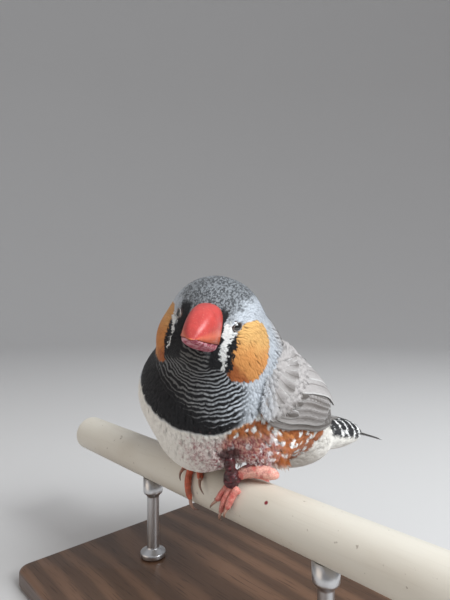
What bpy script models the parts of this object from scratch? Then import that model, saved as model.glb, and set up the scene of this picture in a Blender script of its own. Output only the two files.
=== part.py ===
"""A male zebra finch gripping a cut length of perch, on a plain display stand, life size.

The bird faces -Y with its left side to +X and its tail to +Y, and the perch runs along X. Lengths are
in millimetres until a mesh or a curve is made, and the bird's own shape is measured from PERCH_AT, the
point of the perch's axis under its belly. The origin is the middle of the stand base's underside.
"""

from math import cos, pi, radians, sin

import bmesh
import bpy
import numpy as np

MM = 0.001
GAP = 0.3

# The perch and the stand
PERCH_AT = np.array([-2.0, -8.0, 31.0])
PERCH_RADIUS = 5.0
PERCH_ENDS = (-62.0, 56.0)
PERCH_CHAMFER = 0.6
BASE_SIZE = (96.0, 74.0, 5.0)
BASE_ROUNDING = 1.2
ROD_PLACES = (-28.0, 28.0)
ROD_RADIUS = 1.6
ROD_FLANGE = (3.4, 1.2)
ROD_CRADLE = (2.6, 4.0)
ROD_CRADLE_RISE = 2.2
ROD_TAPER = 1.0
SADDLE_LENGTH = 90.0

# The head: its middle, and how it is turned to the bird's left, lowered and tipped over
HEAD_AT = np.array([6.3, -6.2, 38.2])
HEAD_YAW = 38.0
HEAD_PITCH = 4.0
HEAD_TIP = -13.0

# The bill, in the head's own frame, from its root inside the face to its tip
BILL_ROOT = -8.3
BILL_TIP = -19.4
BILL_SIDE = 0.2
BILL_HALF_WIDTH = 3.35
BILL_UPPER = 7.2
BILL_LOWER = 1.9
GAPE_ROOT = -3.9
GAPE_DROP = -0.7
BILL_SQUARE = 0.66

EYE_RADIUS = 2.1
EYE_AT = (4.73, -6.53, -0.01)

# The coat's hollow over the perch, and where the bird is parted, from 0 at the head's middle to 1 at the tail
COAT_HOLLOW = 8.4
HEAD_END = 0.03
NECK_END = 0.17
TRUNK_END = 0.90
CUT = 0.010

WING_FRONT = 0.185
WING_TIP = 0.955
WING_THICKNESS = 1.1
WING_EDGE = 0.6
WING_CLEARANCE = 0.72

TAIL_ROOT = (0.3, 51.5, 3.7)
TAIL_TIP = (1.9, 66.5, -1.4)
TAIL_HALF_WIDTH = (4.4, 5.0)
TAIL_HALF_THICKNESS = (2.0, 0.45)

TOE_RADIUS = 0.7
CLAW_RADIUS = 0.45
CLAW_TIP_RADIUS = 0.14
CLAW_ARCH = 0.5
TOE_SWELL = (0.80, 1.0, 1.0, 0.94, 0.98, 0.90, 0.86, 0.62)
TOE_RUN = PERCH_RADIUS + GAP + TOE_RADIUS
CLAW_POINTS = 6
TARSUS_POINTS = 9

AROUND = 32
BILL_AROUND = 24

COLOURS = {
    "plumage": ((0.36, 0.38, 0.42, 1), 0.8, 0.0),
    "bill": ((0.78, 0.10, 0.05, 1), 0.3, 0.0),
    "eye": ((0.02, 0.015, 0.015, 1), 0.1, 0.0),
    "leg": ((0.72, 0.22, 0.13, 1), 0.5, 0.0),
    "claw": ((0.45, 0.33, 0.28, 1), 0.4, 0.0),
    "clot": ((0.06, 0.01, 0.01, 1), 0.35, 0.0),
    "perch": ((0.78, 0.75, 0.68, 1), 0.45, 0.0),
    "stand": ((0.20, 0.13, 0.09, 1), 0.5, 0.0),
    "rod": ((0.60, 0.60, 0.61, 1), 0.3, 1.0),
}


def clear_scene():
    for item in list(bpy.data.objects):
        bpy.data.objects.remove(item, do_unlink=True)


def material(name):
    colour, roughness, metallic = COLOURS[name]
    made = bpy.data.materials.get(name) or bpy.data.materials.new(name)
    made.use_nodes = True
    shader = made.node_tree.nodes["Principled BSDF"]
    shader.inputs["Base Color"].default_value = colour
    shader.inputs["Roughness"].default_value = roughness
    shader.inputs["Metallic"].default_value = metallic
    return made


def collection(name):
    made = bpy.data.collections.new(name)
    bpy.context.scene.collection.children.link(made)
    return made


def turn(axis, degrees):
    """The matrix of a turn about X, Y or Z."""
    c, s = cos(radians(degrees)), sin(radians(degrees))
    if axis == "x":
        return np.array([[1, 0, 0], [0, c, -s], [0, s, c]])
    if axis == "y":
        return np.array([[c, 0, s], [0, 1, 0], [-s, 0, c]])
    return np.array([[c, -s, 0], [s, c, 0], [0, 0, 1]])


HEAD_TURN = turn("z", HEAD_YAW) @ turn("x", -HEAD_PITCH) @ turn("y", -HEAD_TIP)


def to_head(places):
    return (places - HEAD_AT) @ HEAD_TURN


def from_head(places):
    return np.asarray(places, float) @ HEAD_TURN.T + HEAD_AT


def unit(vectors):
    vectors = np.asarray(vectors, float)
    return vectors / np.linalg.norm(vectors, axis=-1, keepdims=True)


def both_sides(places):
    """The places with those on the bird's right brought over to its left."""
    return np.stack([np.abs(places[..., 0]), places[..., 1], places[..., 2]], -1)


def ellipsoid(places, centre, radii, pitch=0.0, yaw=0.0):
    """About how far each place is outside an ellipsoid, negative inside."""
    local = (places - np.array(centre)) @ (turn("z", yaw) @ turn("x", pitch))
    radii = np.array(radii, float)
    near = np.linalg.norm(local / radii, axis=-1)
    slope = np.linalg.norm(local / radii**2, axis=-1)
    return near * (near - 1.0) / np.maximum(slope, 1e-9)


def blend(distances, softness):
    """One smooth surface round several: minus the softness times the log of the sum of exponentials."""
    distances = np.stack(distances)
    least = distances.min(0)
    return least - softness * np.log(np.exp(-(distances - least) / softness).sum(0))


def head_field(places):
    local = to_head(places)
    half = both_sides(local)
    return blend(
        [
            ellipsoid(local, (0, 1.2, 0.8), (9.8, 10.2, 9.1)),  # skull and crown
            ellipsoid(local, (0, -4.6, -1.2), (6.6, 6.0, 6.8)),  # face
            ellipsoid(half, (5.6, -0.6, -4.4), (5.5, 6.8, 6.2)),  # cheeks
            ellipsoid(local, (0, -4.6, -5.6), (5.6, 5.6, 4.6)),  # chin
        ],
        1.0,
    )


def trunk_field(places):
    return blend(
        [
            ellipsoid(places, (0, 10.0, 18.9), (16.5, 25.2, 13.4), -30),  # trunk
            ellipsoid(places, (0, -4.3, 22.9), (15.8, 13.2, 12.2)),  # breast
            ellipsoid(places, (1, -4.5, 15.2), (10.6, 9.8, 9.8)),  # belly
            ellipsoid(places, (2, 1.0, 30.5), (13.2, 12.2, 12.0)),  # neck
            ellipsoid(places, (0, 24.0, 7.2), (10.5, 13.0, 6.9), -12),  # vent
            ellipsoid(places, (12.0, 3.8, 11.6), (4.0, 6.6, 5.0)),  # left thigh
            ellipsoid(places, (0, 39.5, 5.3), (6.4, 15.1, 4.6), -10),  # tail's root
        ],
        1.6,
    )


def coat_field(places):
    """The outer surface of the whole coat, with the round hollow where the belly sits over the perch."""
    softness = 0.7
    whole = blend([head_field(places), trunk_field(places)], 1.4)
    hollow = COAT_HOLLOW - np.hypot(places[..., 1], places[..., 2])
    most = np.maximum(whole, hollow)
    return most + softness * np.log(np.exp((whole - most) / softness) + np.exp((hollow - most) / softness))


def wing_field(places):
    """The outer surface of the folded wings: the coat, thickened, and the straight quills behind it."""
    half = both_sides(places)
    return blend(
        [
            coat_field(places) - (WING_CLEARANCE + WING_THICKNESS),
            ellipsoid(half, (6.6, 26.5, 15.6), (5.8, 24.0, 7.0), -31, 9),
        ],
        1.2,
    )


# The planes that the bird is measured in, from the head back to the tail: a place and a direction.
# Each is tilted so that no two meet inside the body.
SPINE = (
    (tuple(HEAD_AT), (-0.36, 0.60, -0.66)),
    ((4.0, -1.0, 31.0), (-0.15, 0.45, -0.86)),
    ((1.5, 2.5, 24.0), (-0.06, 0.72, -0.69)),
    ((0.5, 9.0, 19.0), (0, 0.87, -0.50)),
    ((0.0, 18.5, 13.5), (0, 0.93, -0.37)),
    ((0.0, 32.0, 7.5), (0, 0.96, -0.27)),
    ((0.3, 47.5, 4.0), (0.02, 0.98, -0.16)),
)
CAP_ROWS = 0.12
FACE_BACK = HEAD_TURN @ np.array([0, 0.97, 0.22])
HEAD_UP = HEAD_TURN @ np.array([0, 0, 1.0])
FAR = 34.0


def spine(along):
    """Place and direction on the spine, a cubic through its places, at 0 to 1 along it."""
    places = np.array([place for place, _ in SPINE], float)
    ways = unit([way for _, way in SPINE])
    spans = len(places) - 1
    at = np.clip(along, 0, 1) * spans
    index = np.minimum(at.astype(int), spans - 1)
    t = (at - index)[..., None]
    length = np.linalg.norm(np.diff(places, axis=0), axis=1)[index][..., None]
    place = (2 * t**3 - 3 * t**2 + 1) * places[index] + (t**3 - 2 * t**2 + t) * ways[index] * length
    place += (3 * t**2 - 2 * t**3) * places[index + 1] + (t**3 - t**2) * ways[index + 1] * length
    return place, unit(ways[index] * (1 - t) + ways[index + 1] * t)


def rays(along, angle):
    """Start and direction of the line from the spine out to the coat. The angle is 0 up the back and
    grows towards the bird's left. Before 0 and past 1 the lines close in on the face and the tail."""
    place, way = spine(along)
    start = np.clip(along * 4, 0, 1)[..., None]
    up = unit(HEAD_UP * (1 - start) + np.array([0, 0, 1.0]) * start)
    ahead = np.clip(-along / CAP_ROWS, 0, 1)[..., None]
    ahead = ahead * ahead * (3 - 2 * ahead)
    way = unit(way * (1 - ahead) + FACE_BACK * ahead)
    up = unit(up - (up * way).sum(-1, keepdims=True) * way)
    side = np.cross(way, up)
    lean = (np.where(along < 0, along, np.maximum(along - 1, 0)) * (pi / 2) / CAP_ROWS)[..., None]
    out = np.cos(angle)[..., None] * up + np.sin(angle)[..., None] * side
    return place, np.cos(lean) * out + np.sin(lean) * way


def reach(field, place, ray):
    """How far along each line the field first rises through 0, by steps and then by halving."""
    steps = np.linspace(0.5, FAR, 60)
    low = np.full(place.shape[:-1], steps[0])
    high = np.full(place.shape[:-1], FAR)
    found = np.zeros(place.shape[:-1], bool)
    for near, far in zip(steps[:-1], steps[1:]):
        crossed = ~found & (field(place + ray * far) > 0)
        low = np.where(crossed, near, low)
        high = np.where(crossed, far, high)
        found |= crossed
    for _ in range(20):
        middle = 0.5 * (low + high)
        outside = field(place + ray * middle[..., None]) > 0
        low = np.where(outside, low, middle)
        high = np.where(outside, middle, high)
    return 0.5 * (low + high)


def coat(along, angle):
    """Places on the coat's outer surface."""
    place, ray = rays(along, angle)
    return place + ray * reach(coat_field, place, ray)[..., None]


def add_mesh(name, places, faces, finish, group, smooth_angle=35.0):
    """A mesh object from places in millimetres, measured from the perch."""
    mesh = bpy.data.meshes.new(name)
    mesh.from_pydata(((np.asarray(places) + PERCH_AT) * MM).tolist(), [], faces)
    made = bpy.data.objects.new(name, mesh)
    mesh.materials.append(material(finish))
    shape = bmesh.new()
    shape.from_mesh(mesh)
    bmesh.ops.recalc_face_normals(shape, faces=shape.faces)
    shape.to_mesh(mesh)
    shape.free()
    mesh.shade_smooth()
    mesh.set_sharp_from_angle(angle=radians(smooth_angle))
    group.objects.link(made)
    return made


def loft(name, rings, finish, group):
    """A closed solid through rings of places, each ring in order round it. An end ring that has shrunk
    to a point becomes a pole, and another is closed by one flat face."""
    rings = np.asarray(rings, float)
    first, last = (np.ptp(ring, axis=0).max() < 1e-6 for ring in (rings[0], rings[-1]))
    body = rings[1 if first else 0 : -1 if last else None]
    rows, around = body.shape[:2]
    places = list(body.reshape(-1, 3))
    faces = []
    for row in range(rows - 1):
        for i in range(around):
            j = (i + 1) % around
            faces.append((row * around + i, row * around + j, (row + 1) * around + j, (row + 1) * around + i))
    for is_pole, row, ring in ((first, 0, rings[0]), (last, rows - 1, rings[-1])):
        edge = [row * around + i for i in range(around)]
        if is_pole:
            places.append(ring[0])
            faces += [(edge[i], edge[(i + 1) % around], len(places) - 1) for i in range(around)]
        else:
            faces.append(edge)
    return add_mesh(name, places, faces, finish, group)


def tube(name, path, radii, finish, group):
    """A round limb along a smooth path: a curve with a bevel and filled caps. Its radii taper as given."""
    curve = bpy.data.curves.new(name, "CURVE")
    curve.dimensions = "3D"
    curve.bevel_depth = MM
    curve.bevel_resolution = 2
    curve.use_fill_caps = True
    curve.resolution_u = 1
    spline = curve.splines.new("POLY")
    spline.points.add(len(path) - 1)
    for point, place, radius in zip(spline.points, path, radii):
        point.co = (*((np.asarray(place) + PERCH_AT) * MM), 1)
        point.radius = radius
    spline.use_smooth = True
    curve.materials.append(material(finish))
    made = bpy.data.objects.new(name, curve)
    group.objects.link(made)
    return made


def smooth_path(places, count):
    """Evenly spaced places on a Catmull-Rom curve through a few."""
    knots = np.asarray(places, float)
    knots = np.vstack([2 * knots[0] - knots[1], knots, 2 * knots[-1] - knots[-2]])
    at = np.linspace(0, len(places) - 1, count)
    index = np.minimum(at.astype(int), len(places) - 2)
    t = (at - index)[:, None]
    a, b, c, d = (knots[index + k] for k in range(4))
    return 0.5 * (2 * b + (c - a) * t + (2 * a - 5 * b + 4 * c - d) * t**2 + (3 * b - a - 3 * c + d) * t**3)


def cut(target, cutter):
    """Takes the cutter's shape out of the target."""
    cutter.hide_render = True
    cutter.display_type = "WIRE"
    boolean = target.modifiers.new(f"cut by {cutter.name}", "BOOLEAN")
    boolean.operation = "DIFFERENCE"
    boolean.object = cutter


# The body, parted at the neck and at the root of the tail


def coat_rings(start, end, rows):
    turns = np.arange(AROUND) * 2 * pi / AROUND
    along, angle = np.meshgrid(np.linspace(start, end, rows), turns, indexing="ij")
    return coat(along, angle)


def add_head(group, cutters):
    head = loft("head", coat_rings(-CAP_ROWS, HEAD_END, 15), "plumage", group)
    cut(head, add_bill_cutter(cutters))
    for side, name in ((1, "left"), (-1, "right")):
        cut(head, add_ball(f"socket_{name}", eye_place(side), EYE_RADIUS + GAP, "eye", cutters))
    return head


def add_neck(group):
    return loft("neck", coat_rings(HEAD_END + CUT, NECK_END, 6), "plumage", group)


def add_trunk(group):
    return loft("trunk", coat_rings(NECK_END + CUT, TRUNK_END, 20), "plumage", group)


def tail_section(share):
    """One flat oval across the tail, from its root at share 0 to its tip at 1."""
    angle = np.arange(AROUND) * 2 * pi / AROUND
    root, tip = np.array(TAIL_ROOT), np.array(TAIL_TIP)
    lift = unit(np.cross(np.array([1.0, 0, 0]), tip - root))
    width = np.interp(sin(share * pi / 2), (0, 1), TAIL_HALF_WIDTH)
    thickness = np.interp(share * 1.6, (0, 1), TAIL_HALF_THICKNESS)
    rounded = np.sign(np.sin(angle)) * np.abs(np.sin(angle)) ** 0.8
    across = np.array([1.0, 0, 0]) * (width * rounded)[:, None]
    return root + (tip - root) * share + across + lift * (thickness * np.cos(angle))[:, None]


def add_tail(group):
    coverts = coat_rings(TRUNK_END + CUT, 0.98, 4)
    quills = [tail_section(share) for share in np.linspace(0, 1, 6)]
    return loft("tail", np.concatenate([coverts, np.array(quills)]), "plumage", group)


# The folded wings, laid on the coat


def wing_edges(share):
    """The angles of a wing's upper and lower edge, from its bend at share 0 to its tip at 1."""
    lower = np.interp(share, (0, 0.08, 0.25, 0.46, 0.62, 0.80, 1), (104, 121, 118, 103, 95, 76, 34))
    upper = np.interp(share, (0, 0.08, 0.25, 0.60, 0.85, 1), (84, 50, 24, 12, 16, 27))
    return np.radians(upper), np.radians(lower)


def wing_sheets(side, rows, columns):
    """The inner and outer face of a wing as two grids. The outer face sinks to a thin edge all round."""
    share = np.linspace(0, 1, rows)[:, None]
    across = np.linspace(0, 1, columns)[None, :]
    upper, lower = wing_edges(share)
    along = WING_FRONT + (WING_TIP - WING_FRONT) * share + 0 * across
    angle = side * (upper + (lower - upper) * across)
    place, ray = rays(along, angle)
    inner = reach(coat_field, place, ray) + WING_CLEARANCE
    outer = reach(wing_field, place, ray)
    rim = np.sin(pi * share) ** 0.35 * np.sin(pi * across) ** 0.5
    outer = inner + WING_EDGE + np.maximum(outer - inner - WING_EDGE, 0) * rim
    return place + ray * inner[..., None], place + ray * outer[..., None]


def add_wing(side, name, group):
    rows, columns = 15, 10
    inner, outer = wing_sheets(side, rows, columns)
    places = np.concatenate([inner.reshape(-1, 3), outer.reshape(-1, 3)])
    shift = rows * columns
    faces = []
    for i in range(rows - 1):
        for j in range(columns - 1):
            a = i * columns + j
            quad = (a, a + 1, a + columns + 1, a + columns)
            faces += [quad, tuple(k + shift for k in reversed(quad))]
    rim = list(range(columns))
    rim += [i * columns + columns - 1 for i in range(1, rows)]
    rim += [(rows - 1) * columns + j for j in range(columns - 2, -1, -1)]
    rim += [i * columns for i in range(rows - 2, 0, -1)]
    faces += [(a, b, b + shift, a + shift) for a, b in zip(rim, rim[1:] + rim[:1])]
    return add_mesh(name, places, faces, "plumage", group, 50.0)


# The bill and the eyes, in the head's frame


def bill_lines(share):
    """Half width, height above the gape, depth below it and the gape's own height along the bill."""
    width = BILL_HALF_WIDTH * (1 - share**3.2) ** 0.66
    upper = BILL_UPPER * (1 - share**2.3) ** 0.80
    lower = BILL_LOWER * (1 - share**1.9) ** 0.85
    gape = GAPE_ROOT - GAPE_DROP * share**1.3
    return width, upper, lower, gape


def bill_ring(share, has_upper, has_lower, grow=0.0, narrow=1.0):
    """One section of the bill, round either mandible or both: half ovals above and below the gape."""
    width, rise, fall, gape = bill_lines(share)
    angle = np.linspace(0, 2 * pi, BILL_AROUND, endpoint=False)
    height = np.abs(np.sin(angle)) ** BILL_SQUARE
    across = np.sign(np.cos(angle)) * np.abs(np.cos(angle)) ** BILL_SQUARE
    above = (rise + grow) * height * (np.sin(angle) > 0) * has_upper
    below = (fall + grow) * height * (np.sin(angle) < 0) * has_lower
    level = gape + GAP / 2 * (has_upper - has_lower)
    side = BILL_SIDE + (width * narrow + grow) * across
    ahead = np.full(BILL_AROUND, BILL_ROOT + (BILL_TIP - BILL_ROOT) * share)
    return from_head(np.stack([side, ahead, level + above - below], -1))


def bill_shares(rows):
    """Sections that crowd towards the tip, where the bill rounds off."""
    return np.sin(np.linspace(0, 0.985, rows) * pi / 2)


def add_bill(group):
    for name, has_upper, has_lower, narrow in (("bill_upper", 1, 0, 1.0), ("bill_lower", 0, 1, 0.93)):
        rings = [bill_ring(share, has_upper, has_lower, narrow=narrow) for share in bill_shares(10)]
        loft(name, rings, "bill", group)


def add_bill_cutter(group):
    rings = [bill_ring(share, 1, 1, grow=GAP) for share in bill_shares(10)]
    back = rings[0] + HEAD_TURN @ np.array([0, GAP, 0])
    return loft("bill_cutter", [back] + rings[1:], "bill", group)


def eye_place(side):
    return from_head(np.array([side * EYE_AT[0], EYE_AT[1], EYE_AT[2]]))


def add_ball(name, place, radius, finish, group):
    bpy.ops.mesh.primitive_uv_sphere_add(segments=14, ring_count=9, radius=radius * MM)
    made = bpy.context.active_object
    made.name = name
    made.location = (np.asarray(place) + PERCH_AT) * MM
    made.data.materials.append(material(finish))
    made.data.shade_smooth()
    for owner in list(made.users_collection):
        owner.objects.unlink(made)
    group.objects.link(made)
    return made


def add_eyes(group):
    for side, name in ((1, "eye_left"), (-1, "eye_right")):
        add_ball(name, eye_place(side), EYE_RADIUS, "eye", group)


# The feet on the perch

# Each toe: its place along the perch at the root and at the tip, and the angles round the perch from
# its top to its front (negative to its back) that it runs between, then the claw's reach in degrees
TOES = {
    "right": {
        "toe_1": ((-5.2, -5.6), (-30, -92), 34),
        "toe_2": ((-3.2, 0.2), (24, 60), 24),
        "toe_3": ((-5.0, -2.7), (20, 112), 30),
        "toe_4": ((-6.8, -6.4), (24, 54), 24),
    },
    "left": {
        "toe_1": ((10.8, 11.2), (-30, -92), 34),
        "toe_2": ((12.5, 10.4), (60, 92), 22),
        "toe_3": ((10.8, 7.7), (58, 104), 24),
        "toe_4": ((9.0, 6.0), (64, 84), 22),
    },
}
TARSI = {
    "right": (((-5.0, -1.3, 6.8), (-5.0, -0.1, 7.0), (-5.1, 1.0, 6.8)), (1.05, 1.15, 1.05)),
    "left": (((10.9, -1.0, 6.6), (13.2, -0.6, 6.75), (15.6, -0.2, 6.8), (17.2, 0.4, 6.7)), (1.15, 1.3, 1.3, 1.1)),
}
TARSUS_END = 0.72
CLOT_AT = (9.8, -4.5, 5.7)
CLOT_RADII = (1.5, 1.4, 1.5)


def on_perch(x, degrees, radius):
    """A place round the perch, at an angle from its top towards its front."""
    return np.array([x, -radius * sin(radians(degrees)), radius * cos(radians(degrees))])


def add_foot(side, group):
    for name, ((x_root, x_tip), (start, end), claw) in TOES[side].items():
        turns = np.linspace(start, end, len(TOE_SWELL))
        path = [on_perch(x, a, TOE_RUN) for x, a in zip(np.linspace(x_root, x_tip, len(turns)), turns)]
        radii = TOE_RADIUS * np.array(TOE_SWELL)
        tube(f"{name}_{side}", path, radii, "leg", group)
        way = 1 if end > start else -1
        gap = way * np.degrees(GAP / TOE_RUN)
        bends = np.linspace(end + gap, end + way * claw, CLAW_POINTS)
        drift = (x_tip - x_root) / abs(end - start)
        arch = CLAW_ARCH * np.sin(np.linspace(0, pi, CLAW_POINTS))
        hook = [on_perch(x_tip + drift * abs(b - end), b, TOE_RUN + rise) for b, rise in zip(bends, arch)]
        taper = np.linspace(CLAW_RADIUS, CLAW_TIP_RADIUS, CLAW_POINTS)
        tube(f"claw_{name[-1]}_{side}", hook, taper, "claw", group)


def add_tarsus(side, group):
    places, radii = TARSI[side]
    path = smooth_path(places, TARSUS_POINTS)
    widths = np.interp(np.linspace(0, 1, TARSUS_POINTS), np.linspace(0, 1, len(radii)), radii)
    widths[[0, -1]] *= TARSUS_END
    tube(f"tarsus_{side}", path, widths, "leg", group)


def add_clot(group):
    clot = add_ball("clot_left_foot", CLOT_AT, 1.0, "clot", group)
    clot.scale = CLOT_RADII
    return clot


# The perch and the stand


def add_perch(group):
    length = (PERCH_ENDS[1] - PERCH_ENDS[0]) * MM
    bpy.ops.mesh.primitive_cylinder_add(vertices=48, radius=PERCH_RADIUS * MM, depth=length)
    perch = bpy.context.active_object
    perch.name = "perch"
    perch.rotation_euler = (0, pi / 2, 0)
    perch.location = (PERCH_AT + np.array([sum(PERCH_ENDS) / 2, 0, 0])) * MM
    place_in(perch, "perch", group)
    bevel = perch.modifiers.new("cut ends", "BEVEL")
    bevel.width = PERCH_CHAMFER * MM
    bevel.segments = 1
    bevel.limit_method = "ANGLE"
    bevel.angle_limit = radians(60)
    return perch


def place_in(made, finish, group):
    made.data.materials.append(material(finish))
    made.data.shade_smooth()
    made.data.set_sharp_from_angle(angle=radians(35))
    for owner in list(made.users_collection):
        owner.objects.unlink(made)
    group.objects.link(made)


def add_base(group):
    bpy.ops.mesh.primitive_cube_add(size=1)
    base = bpy.context.active_object
    base.name = "stand_base"
    shape = bmesh.new()
    shape.from_mesh(base.data)
    bmesh.ops.scale(shape, vec=[size * MM for size in BASE_SIZE], verts=shape.verts)
    bmesh.ops.translate(shape, vec=(0, 0, BASE_SIZE[2] / 2 * MM), verts=shape.verts)
    shape.to_mesh(base.data)
    shape.free()
    place_in(base, "stand", group)
    bevel = base.modifiers.new("rounding", "BEVEL")
    bevel.width = BASE_ROUNDING * MM
    bevel.segments = 2
    return base


def rod_profile():
    """The outline of a rod, top to bottom: its cradle, its shaft and its flange."""
    floor = BASE_SIZE[2] + GAP
    top = PERCH_AT[2] - PERCH_RADIUS + ROD_CRADLE_RISE
    cradle_foot = top - ROD_CRADLE[1]
    shaft_foot = floor + ROD_FLANGE[1]
    return (
        (0.0, top),
        (ROD_CRADLE[0], top),
        (ROD_CRADLE[0], cradle_foot),
        (ROD_RADIUS, cradle_foot - ROD_TAPER),
        (ROD_RADIUS, shaft_foot + ROD_TAPER),
        (ROD_FLANGE[0], shaft_foot),
        (ROD_FLANGE[0], floor),
        (0.0, floor),
    )


def add_rods(group, cutters):
    hollow = (PERCH_RADIUS + GAP) * MM
    bpy.ops.mesh.primitive_cylinder_add(vertices=48, radius=hollow, depth=SADDLE_LENGTH * MM)
    saddle = bpy.context.active_object
    saddle.name = "saddle_cutter"
    saddle.rotation_euler = (0, pi / 2, 0)
    saddle.location = PERCH_AT * MM
    place_in(saddle, "perch", cutters)
    for number, x in enumerate(ROD_PLACES, 1):
        outline = rod_profile()
        mesh = bpy.data.meshes.new(f"stand_rod_{number}")
        mesh.from_pydata(
            [(r * MM, 0, z * MM) for r, z in outline], [(i, i + 1) for i in range(len(outline) - 1)], []
        )
        rod = bpy.data.objects.new(f"stand_rod_{number}", mesh)
        rod.location = (x * MM, PERCH_AT[1] * MM, 0)
        mesh.materials.append(material("rod"))
        group.objects.link(rod)
        screw = rod.modifiers.new("turned", "SCREW")
        screw.steps = screw.render_steps = 20
        screw.use_merge_vertices = True
        screw.merge_threshold = 0.00001
        screw.use_smooth_shade = False
        cut(rod, saddle)


def main():
    clear_scene()
    finch = collection("zebra_finch")
    cutters = collection("cutters")
    add_head(finch, cutters)
    add_neck(finch)
    add_trunk(finch)
    add_tail(finch)
    add_wing(1, "wing_left", finch)
    add_wing(-1, "wing_right", finch)
    add_bill(finch)
    add_eyes(finch)
    for side in ("right", "left"):
        add_foot(side, finch)
        add_tarsus(side, finch)
    add_clot(finch)
    add_perch(finch)
    add_base(finch)
    add_rods(finch, cutters)


main()
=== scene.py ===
"""A male zebra finch gripping a cut length of perch on a display stand, life size.

The bird faces -Y with its left side to +X and its tail to +Y, and the perch runs along X. The bird's own
shapes are worked out in millimetres from PERCH_AT, the point of the perch's axis under its belly, and
become metres when a mesh is made. One skin carries the coat, which is made of feathers with separate barbs,
and the same markings colour both. The script lays itself out as an add-on: settings, an operator for each
group of pieces, and one panel."""

from collections import namedtuple
from functools import cache
from math import cos, e, pi, radians, sin

import bmesh
import bpy
import numpy as np
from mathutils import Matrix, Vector
from mathutils.kdtree import KDTree


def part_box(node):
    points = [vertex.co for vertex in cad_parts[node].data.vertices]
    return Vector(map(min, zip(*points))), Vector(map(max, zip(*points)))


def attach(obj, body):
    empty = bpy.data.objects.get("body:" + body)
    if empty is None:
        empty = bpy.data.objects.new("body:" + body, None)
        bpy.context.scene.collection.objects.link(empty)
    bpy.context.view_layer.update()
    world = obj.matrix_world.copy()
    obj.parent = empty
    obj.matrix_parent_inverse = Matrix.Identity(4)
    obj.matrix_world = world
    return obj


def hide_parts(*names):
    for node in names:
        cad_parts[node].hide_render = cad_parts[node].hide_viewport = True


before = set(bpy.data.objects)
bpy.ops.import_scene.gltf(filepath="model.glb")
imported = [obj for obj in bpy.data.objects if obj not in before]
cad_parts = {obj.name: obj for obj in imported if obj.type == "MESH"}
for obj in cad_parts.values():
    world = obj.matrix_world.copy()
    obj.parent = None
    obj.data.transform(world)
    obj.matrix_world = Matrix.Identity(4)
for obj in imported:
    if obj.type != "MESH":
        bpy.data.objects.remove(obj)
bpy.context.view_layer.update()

bl_info = {
    "name": "Zebra Finch on a Perch",
    "version": (1, 0, 0),
    "blender": (4, 5, 0),
    "location": "3D View > Sidebar > Finch",
    "description": "Skin, plumage, bill, eyes, feet, perch and stand of a life-size zebra finch",
    "category": "Add Mesh",
}

MM = 0.001
PERCH_LOW, PERCH_HIGH = (np.array(corner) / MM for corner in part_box("perch"))
PERCH_RADIUS = (PERCH_HIGH[2] - PERCH_LOW[2]) / 2
BIRD_FROM_PERCH_MIDDLE = 3.0
PERCH_AT = (PERCH_LOW + PERCH_HIGH) / 2 + np.array([BIRD_FROM_PERCH_MIDDLE, 0, 0])
GAP = 0.3

HEAD_AT = np.array([6.3, -6.2, 38.2])
HEAD_YAW, HEAD_PITCH, HEAD_TIP = 38.0, 4.0, -13.0
BILL_ROOT, BILL_TIP, BILL_SIDE = -8.3, -19.4, 0.2
BILL_HALF_WIDTH, BILL_UPPER, BILL_LOWER = 3.35, 7.2, 1.9
GAPE_ROOT, GAPE_DROP = -3.9, -0.7
BILL_SQUARE, LOWER_BILL_SHARE = 0.66, 0.93
EYE_RADIUS, CORNEA = 2.1, 0.02
EYE_AT = (4.73, -6.53, -0.01)
EYE_AXIS = (0.68, -0.72, 0.17)
EYE_SLANT, EYE_MARGIN = 44.0, 0.12
LID_DEPTH, LID_ROLL, LID_TUCK = 0.28, 0.16, 0.9
EYE_OPENING, EYE_SLIT, LID_SIZE = (1.12, 0.74), (1.16, 0.64), (1.38, 0.84)
COAT_HOLLOW = 8.4
THIN_COAT_ENDS, FULL_COAT_STARTS = 7.0, 27.0
CAP_ROWS = 0.12
SKIN_ROWS, SKIN_COLUMNS = 200, 216
FAR, REACH_STEPS, REACH_HALVINGS = 34.0, 40, 14
WELD_WITHIN, SHORTEST_EDGE = 1e-6, 1e-7

WING_FRONT, WING_TIP = 0.185, 0.955
WING_THICKNESS, WING_EDGE, WING_CLEARANCE = 1.1, 0.6, 0.72
TAIL_ROOT = np.array([0.3, 51.5, 3.7])
TAIL_TIP = np.array([1.9, 66.5, -1.4])


def turn(axis, degrees):
    """The matrix of a turn about X, Y or Z."""
    c, s = cos(radians(degrees)), sin(radians(degrees))
    if axis == "x":
        return np.array([[1, 0, 0], [0, c, -s], [0, s, c]])
    if axis == "y":
        return np.array([[c, 0, s], [0, 1, 0], [-s, 0, c]])
    return np.array([[c, -s, 0], [s, c, 0], [0, 0, 1]])


HEAD_TURN = turn("z", HEAD_YAW) @ turn("x", -HEAD_PITCH) @ turn("y", -HEAD_TIP)
FACE_BACK = HEAD_TURN @ np.array([0, 0.97, 0.22])
HEAD_UP = HEAD_TURN @ np.array([0, 0, 1.0])
BILL_BASE = np.array([0.2, -8.3, -1.2])
BAR_MIDDLE = np.array([11.28, -13.05, 36.35])


def to_head(places):
    """Places measured from the head's middle, along its own side, front-to-back and upright."""
    return (places - HEAD_AT) @ HEAD_TURN


def from_head(places):
    return np.asarray(places, float) @ HEAD_TURN.T + HEAD_AT


def unit(vectors):
    vectors = np.asarray(vectors, float)
    return vectors / np.maximum(np.linalg.norm(vectors, axis=-1, keepdims=True), 1e-12)


def smooth(value, low, high):
    """0 below low and 1 above high, with 3t^2 - 2t^3 between."""
    t = np.clip((value - low) / (high - low), 0, 1)
    return t * t * (3 - 2 * t)


def circle(steps):
    """Angles once round, the last at the same place as the first."""
    return np.linspace(0, 2 * pi, steps + 1)


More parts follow.
